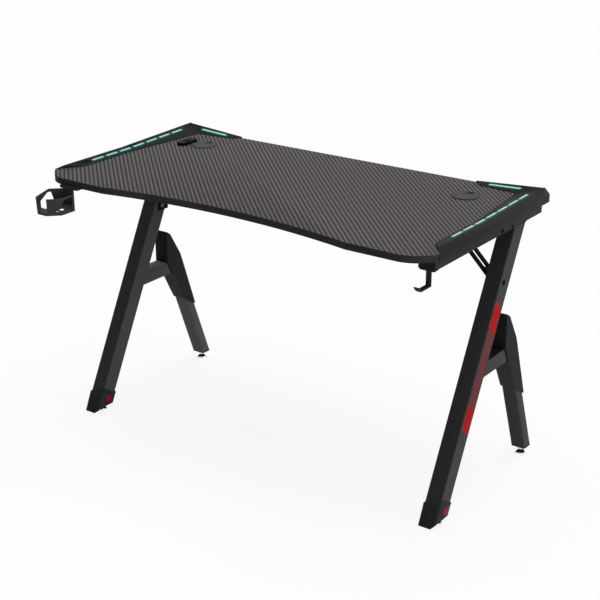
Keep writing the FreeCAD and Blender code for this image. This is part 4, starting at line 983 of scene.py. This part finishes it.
def make_collars():
    """The raised rim of each foot cap, a sleeve round the leg that is highest at its front right corner."""
    for side in SIDES:
        leg_sides, cap_sides = (span_of(f"{side}_{piece}", 0) for piece in ("front_leg", "foot_cap"))
        shape = bmesh.new()
        rings = [[], [], [], []]
        for (edge, hand), high in COLLAR_TOP.items():
            low = CAP_RIM[edge] - COLLAR_OVERLAP
            out = (-1, 1)[hand]
            cap_wall, wall = (edge * size / math.cos(LEG_LEAN) for size in (CAP_WALL, COLLAR_WALL))
            outside, inside = leg_sides[hand] + out * COLLAR_WALL, leg_sides[hand] - out * COLLAR_BITE
            bite = edge * COLLAR_BITE
            spots = ((cap_sides[hand], leg_face(low, edge) + cap_wall, low),
                     (outside, leg_face(high, edge) + wall, high),
                     (inside, leg_face(high, edge) - bite, high),
                     (inside, leg_face(low, edge) - bite, low))
            for ring, spot in zip(rings, spots):
                ring.append(shape.verts.new(spot))
        for first, second in zip(rings, rings[1:] + rings[:1]):
            bridge(shape, first, second)
        round_edges(shape, shape.edges[:], COLLAR_EDGE)
        name = f"{side}_foot_collar"
        add_piece(name, shaded_mesh(name, shape), "desk", PAIRED_FINISHES["foot_cap"], "trim_black")


# A foot insert's outline on the side of its cap as (depth, height), in millimetres
INSERT_OUTLINE = ((-97.2, 18.1), (-122.0, 18.1), (-129.0, 42.0), (-98.0, 50.0), (-85.6, 40.9))
INSERT_THICKNESS = 1.3 * MM
INSERT_RISE = 0.2 * MM
INSERT_EDGE = 0.3 * MM


def make_inserts():
    """The red inserts on both sides of each foot cap, five-sided plates with rounded edges."""
    for side in SIDES:
        node = f"{side}_foot_inserts"
        shape = bmesh.new()
        for face, out in zip(span_of(node, 0), (-1, 1)):
            front, back = ([shape.verts.new((x, *spot)) for spot in in_metres(INSERT_OUTLINE)]
                           for x in (face + out * INSERT_RISE, face - out * INSERT_THICKNESS))
            shape.faces.new(front)
            shape.faces.new(back)
            bridge(shape, front, back)
        round_edges(shape, shape.edges[:], INSERT_EDGE)
        name = f"{node}_finished"
        stand_in(node, name, shaded_mesh(name, shape))


# A dark bead that stands as painted shade for the shadow gap between each link and its shroud
SHADOW_GAP_BEAD = 1.9 * MM
SHADOW_GAP_MARGIN = 1.2 * MM


def make_shadow_gap_growth():
    """A round bead along the edges of the seed."""
    growth = Growth("shadow gap bead", {"Bead": "NodeSocketFloat"})
    path = growth.wiring.add("GeometryNodeMeshToCurve", {"Mesh": growth.given["Geometry"]}).outputs[0]
    growth.end(growth.tube(path, growth.given["Bead"], sides=8))
    return growth


def make_shadow_gap_beads():
    """A black bead round each link where it enters the shroud of its rear leg, as painted shade for the shadow
    gap there.
    """
    loops = []
    for side in SIDES:
        (left, right), depths, (low, high) = (span_of(f"{side}_leg_link", axis) for axis in range(3))
        left, right = left - SHADOW_GAP_MARGIN, right + SHADOW_GAP_MARGIN
        low, high = low - SHADOW_GAP_MARGIN, high + SHADOW_GAP_MARGIN
        middle = (low + high) / 2
        shape = merged_copy(f"{side}_leg_shroud")
        shroud = BVHTree.FromBMesh(shape)
        shape.free()
        round_link = ((left, low), (right, low), (right, middle), (right, high), (left, high), (left, middle))
        starts = [Vector((x, sum(depths) / 2, z)) for x, z in round_link]
        loops.append([shroud.ray_cast(start, Vector((0, 1, 0)))[0] for start in starts])
    seed = closed_paths("shadow_gap_paths", loops)
    finish = FINISHES["gloss_black"]
    mesh = make_shadow_gap_growth().grow("link_seals", seed, Bead=SHADOW_GAP_BEAD, Finish=finish)
    mesh.shade_smooth()
    add_piece("link_seals", mesh, "desk", finish, "gloss_black")


# The middle of the light control's top, and how far from it its lamps sit
CONTROL_PLACE = (-484.0 * MM, 211.55 * MM, 752.9 * MM)
LAMP_SPREAD = 24.0 * MM
# A small domed lamp, as (radius, height) in millimetres
LAMP_PROFILE = ((3.4, 0), (3.3, 0.35), (2.8, 0.65), (1.9, 0.85), (0.8, 0.95))
LAMP_COLOUR = (0.004, 0.03, 0.024)
LAMP_GLOW = (0.004, 0.075, 0.055)


def make_control_lamps():
    """Two small lamps on the light control, one near each end."""
    finish = grained("dim lamp", LAMP_COLOUR, **LAMP_GLASS, Emission_Color=LAMP_GLOW, Emission_Strength=1.0)
    x, y, z = CONTROL_PLACE
    for end, shift in {"front": -LAMP_SPREAD, "rear": LAMP_SPREAD}.items():
        name = f"control_lamp_{end}"
        lamp = turned(name, in_metres(LAMP_PROFILE), SCREW_SEGMENTS, (x, y + shift, z))
        add_piece(name, lamp, "desk", finish, "light_lens")


CAMERA_PLACE = Vector((2.0551, -2.79485, 1.7885))
CAMERA_AIM = Vector((0.0361, 0.04455, 0.4269))
CAMERA_LENS = 83.34
CAMERA_SENSOR = 36


def make_camera():
    """The camera at the photograph's point of view."""
    camera = new_object("camera", bpy.data.cameras.new("camera"))
    camera.data.lens = CAMERA_LENS
    camera.data.sensor_width = CAMERA_SENSOR
    camera.location = CAMERA_PLACE
    camera.rotation_euler = (CAMERA_AIM - CAMERA_PLACE).to_track_quat("-Z", "Y").to_euler()
    bpy.context.scene.camera = camera


FLOOR_REACH = 30.0
FLOOR_TONE = 0.70
FLOOR_SHADOW = 0.12
SURROUND_TONE = 0.015
WHITE = (1, 1, 1)


def seen_directly(wiring):
    """1 for rays from the camera, a mirror or a clear piece, and 0 for light that spreads."""
    path = wiring.add("ShaderNodeLightPath").outputs
    clear = wiring.math("MAXIMUM", path["Is Glossy Ray"], path["Is Transmission Ray"])
    return wiring.math("MAXIMUM", path["Is Camera Ray"], clear)


def make_floor():
    """A pale floor that shows a soft shadow."""
    finish = Finish("pale floor")
    seen = seen_directly(finish)
    finish.set(Base_Color=finish.mix(seen, (FLOOR_TONE,) * 3, WHITE), Roughness=0.9, Specular_IOR_Level=0.0)
    white = finish.add("ShaderNodeEmission", {"Color": WHITE, "Strength": 1.0}).outputs[0]
    share = finish.math("MULTIPLY", seen, 1 - FLOOR_SHADOW)
    paper = finish.add("ShaderNodeMixShader", {0: share, 1: finish.shader.outputs[0], 2: white}).outputs[0]
    finish.feed(finish.end.inputs["Surface"], paper)
    mesh = bpy.data.meshes.new("floor")
    corners = [(x * FLOOR_REACH, y * FLOOR_REACH, 0) for x, y in ((-1, -1), (1, -1), (1, 1), (-1, 1))]
    mesh.from_pydata(corners, [], [(0, 1, 2, 3)])
    mesh.materials.append(finish.material)
    floor = new_object("floor", mesh)


def make_surround():
    """A surround that looks white and sheds little light."""
    world = bpy.data.worlds.new("surround")
    bpy.context.scene.world = world
    world.use_nodes = True
    world.node_tree.nodes.clear()
    wiring = Wiring(world.node_tree)
    tint = wiring.mix(seen_directly(wiring), (SURROUND_TONE,) * 3, WHITE)
    glow = wiring.add("ShaderNodeBackground", {"Color": tint, "Strength": 1.0})
    wiring.add("ShaderNodeOutputWorld", {"Surface": glow.outputs[0]})


# Soft, even lamps: where each shines from, its level on a face turned to it, and how wide it looks in degrees
LAMPS = {
    "key lamp": ((0.985, -0.02, 0.11), 0.54, 25),
    "top lamp": ((0.10, 0.05, 1.00), 0.65, 60),
    "left lamp": ((-0.95, 0.10, 0.30), 0.30, 50),
    "back lamp": ((0.10, 0.95, 0.25), 0.30, 50),
}


def make_lamps():
    """The studio's lamps, far away and as wide as softboxes."""
    for name, (towards, level, width) in LAMPS.items():
        lamp = bpy.data.lights.new(name, "SUN")
        lamp.energy = level * math.pi
        lamp.angle = math.radians(width)
        new_object(name, lamp).rotation_euler = Vector(towards).to_track_quat("Z", "Y").to_euler()


dress_frame()
soften_frame()
fastener_growth = make_fastener_growth()
make_fasteners(fastener_growth)
make_plugs(fastener_growth)
make_levellers()
make_welds()
make_collars()
make_inserts()
make_shadow_gap_beads()
make_control_lamps()
make_camera()
make_floor()
make_surround()
make_lamps()
bpy.context.scene.view_settings.view_transform = "Standard"
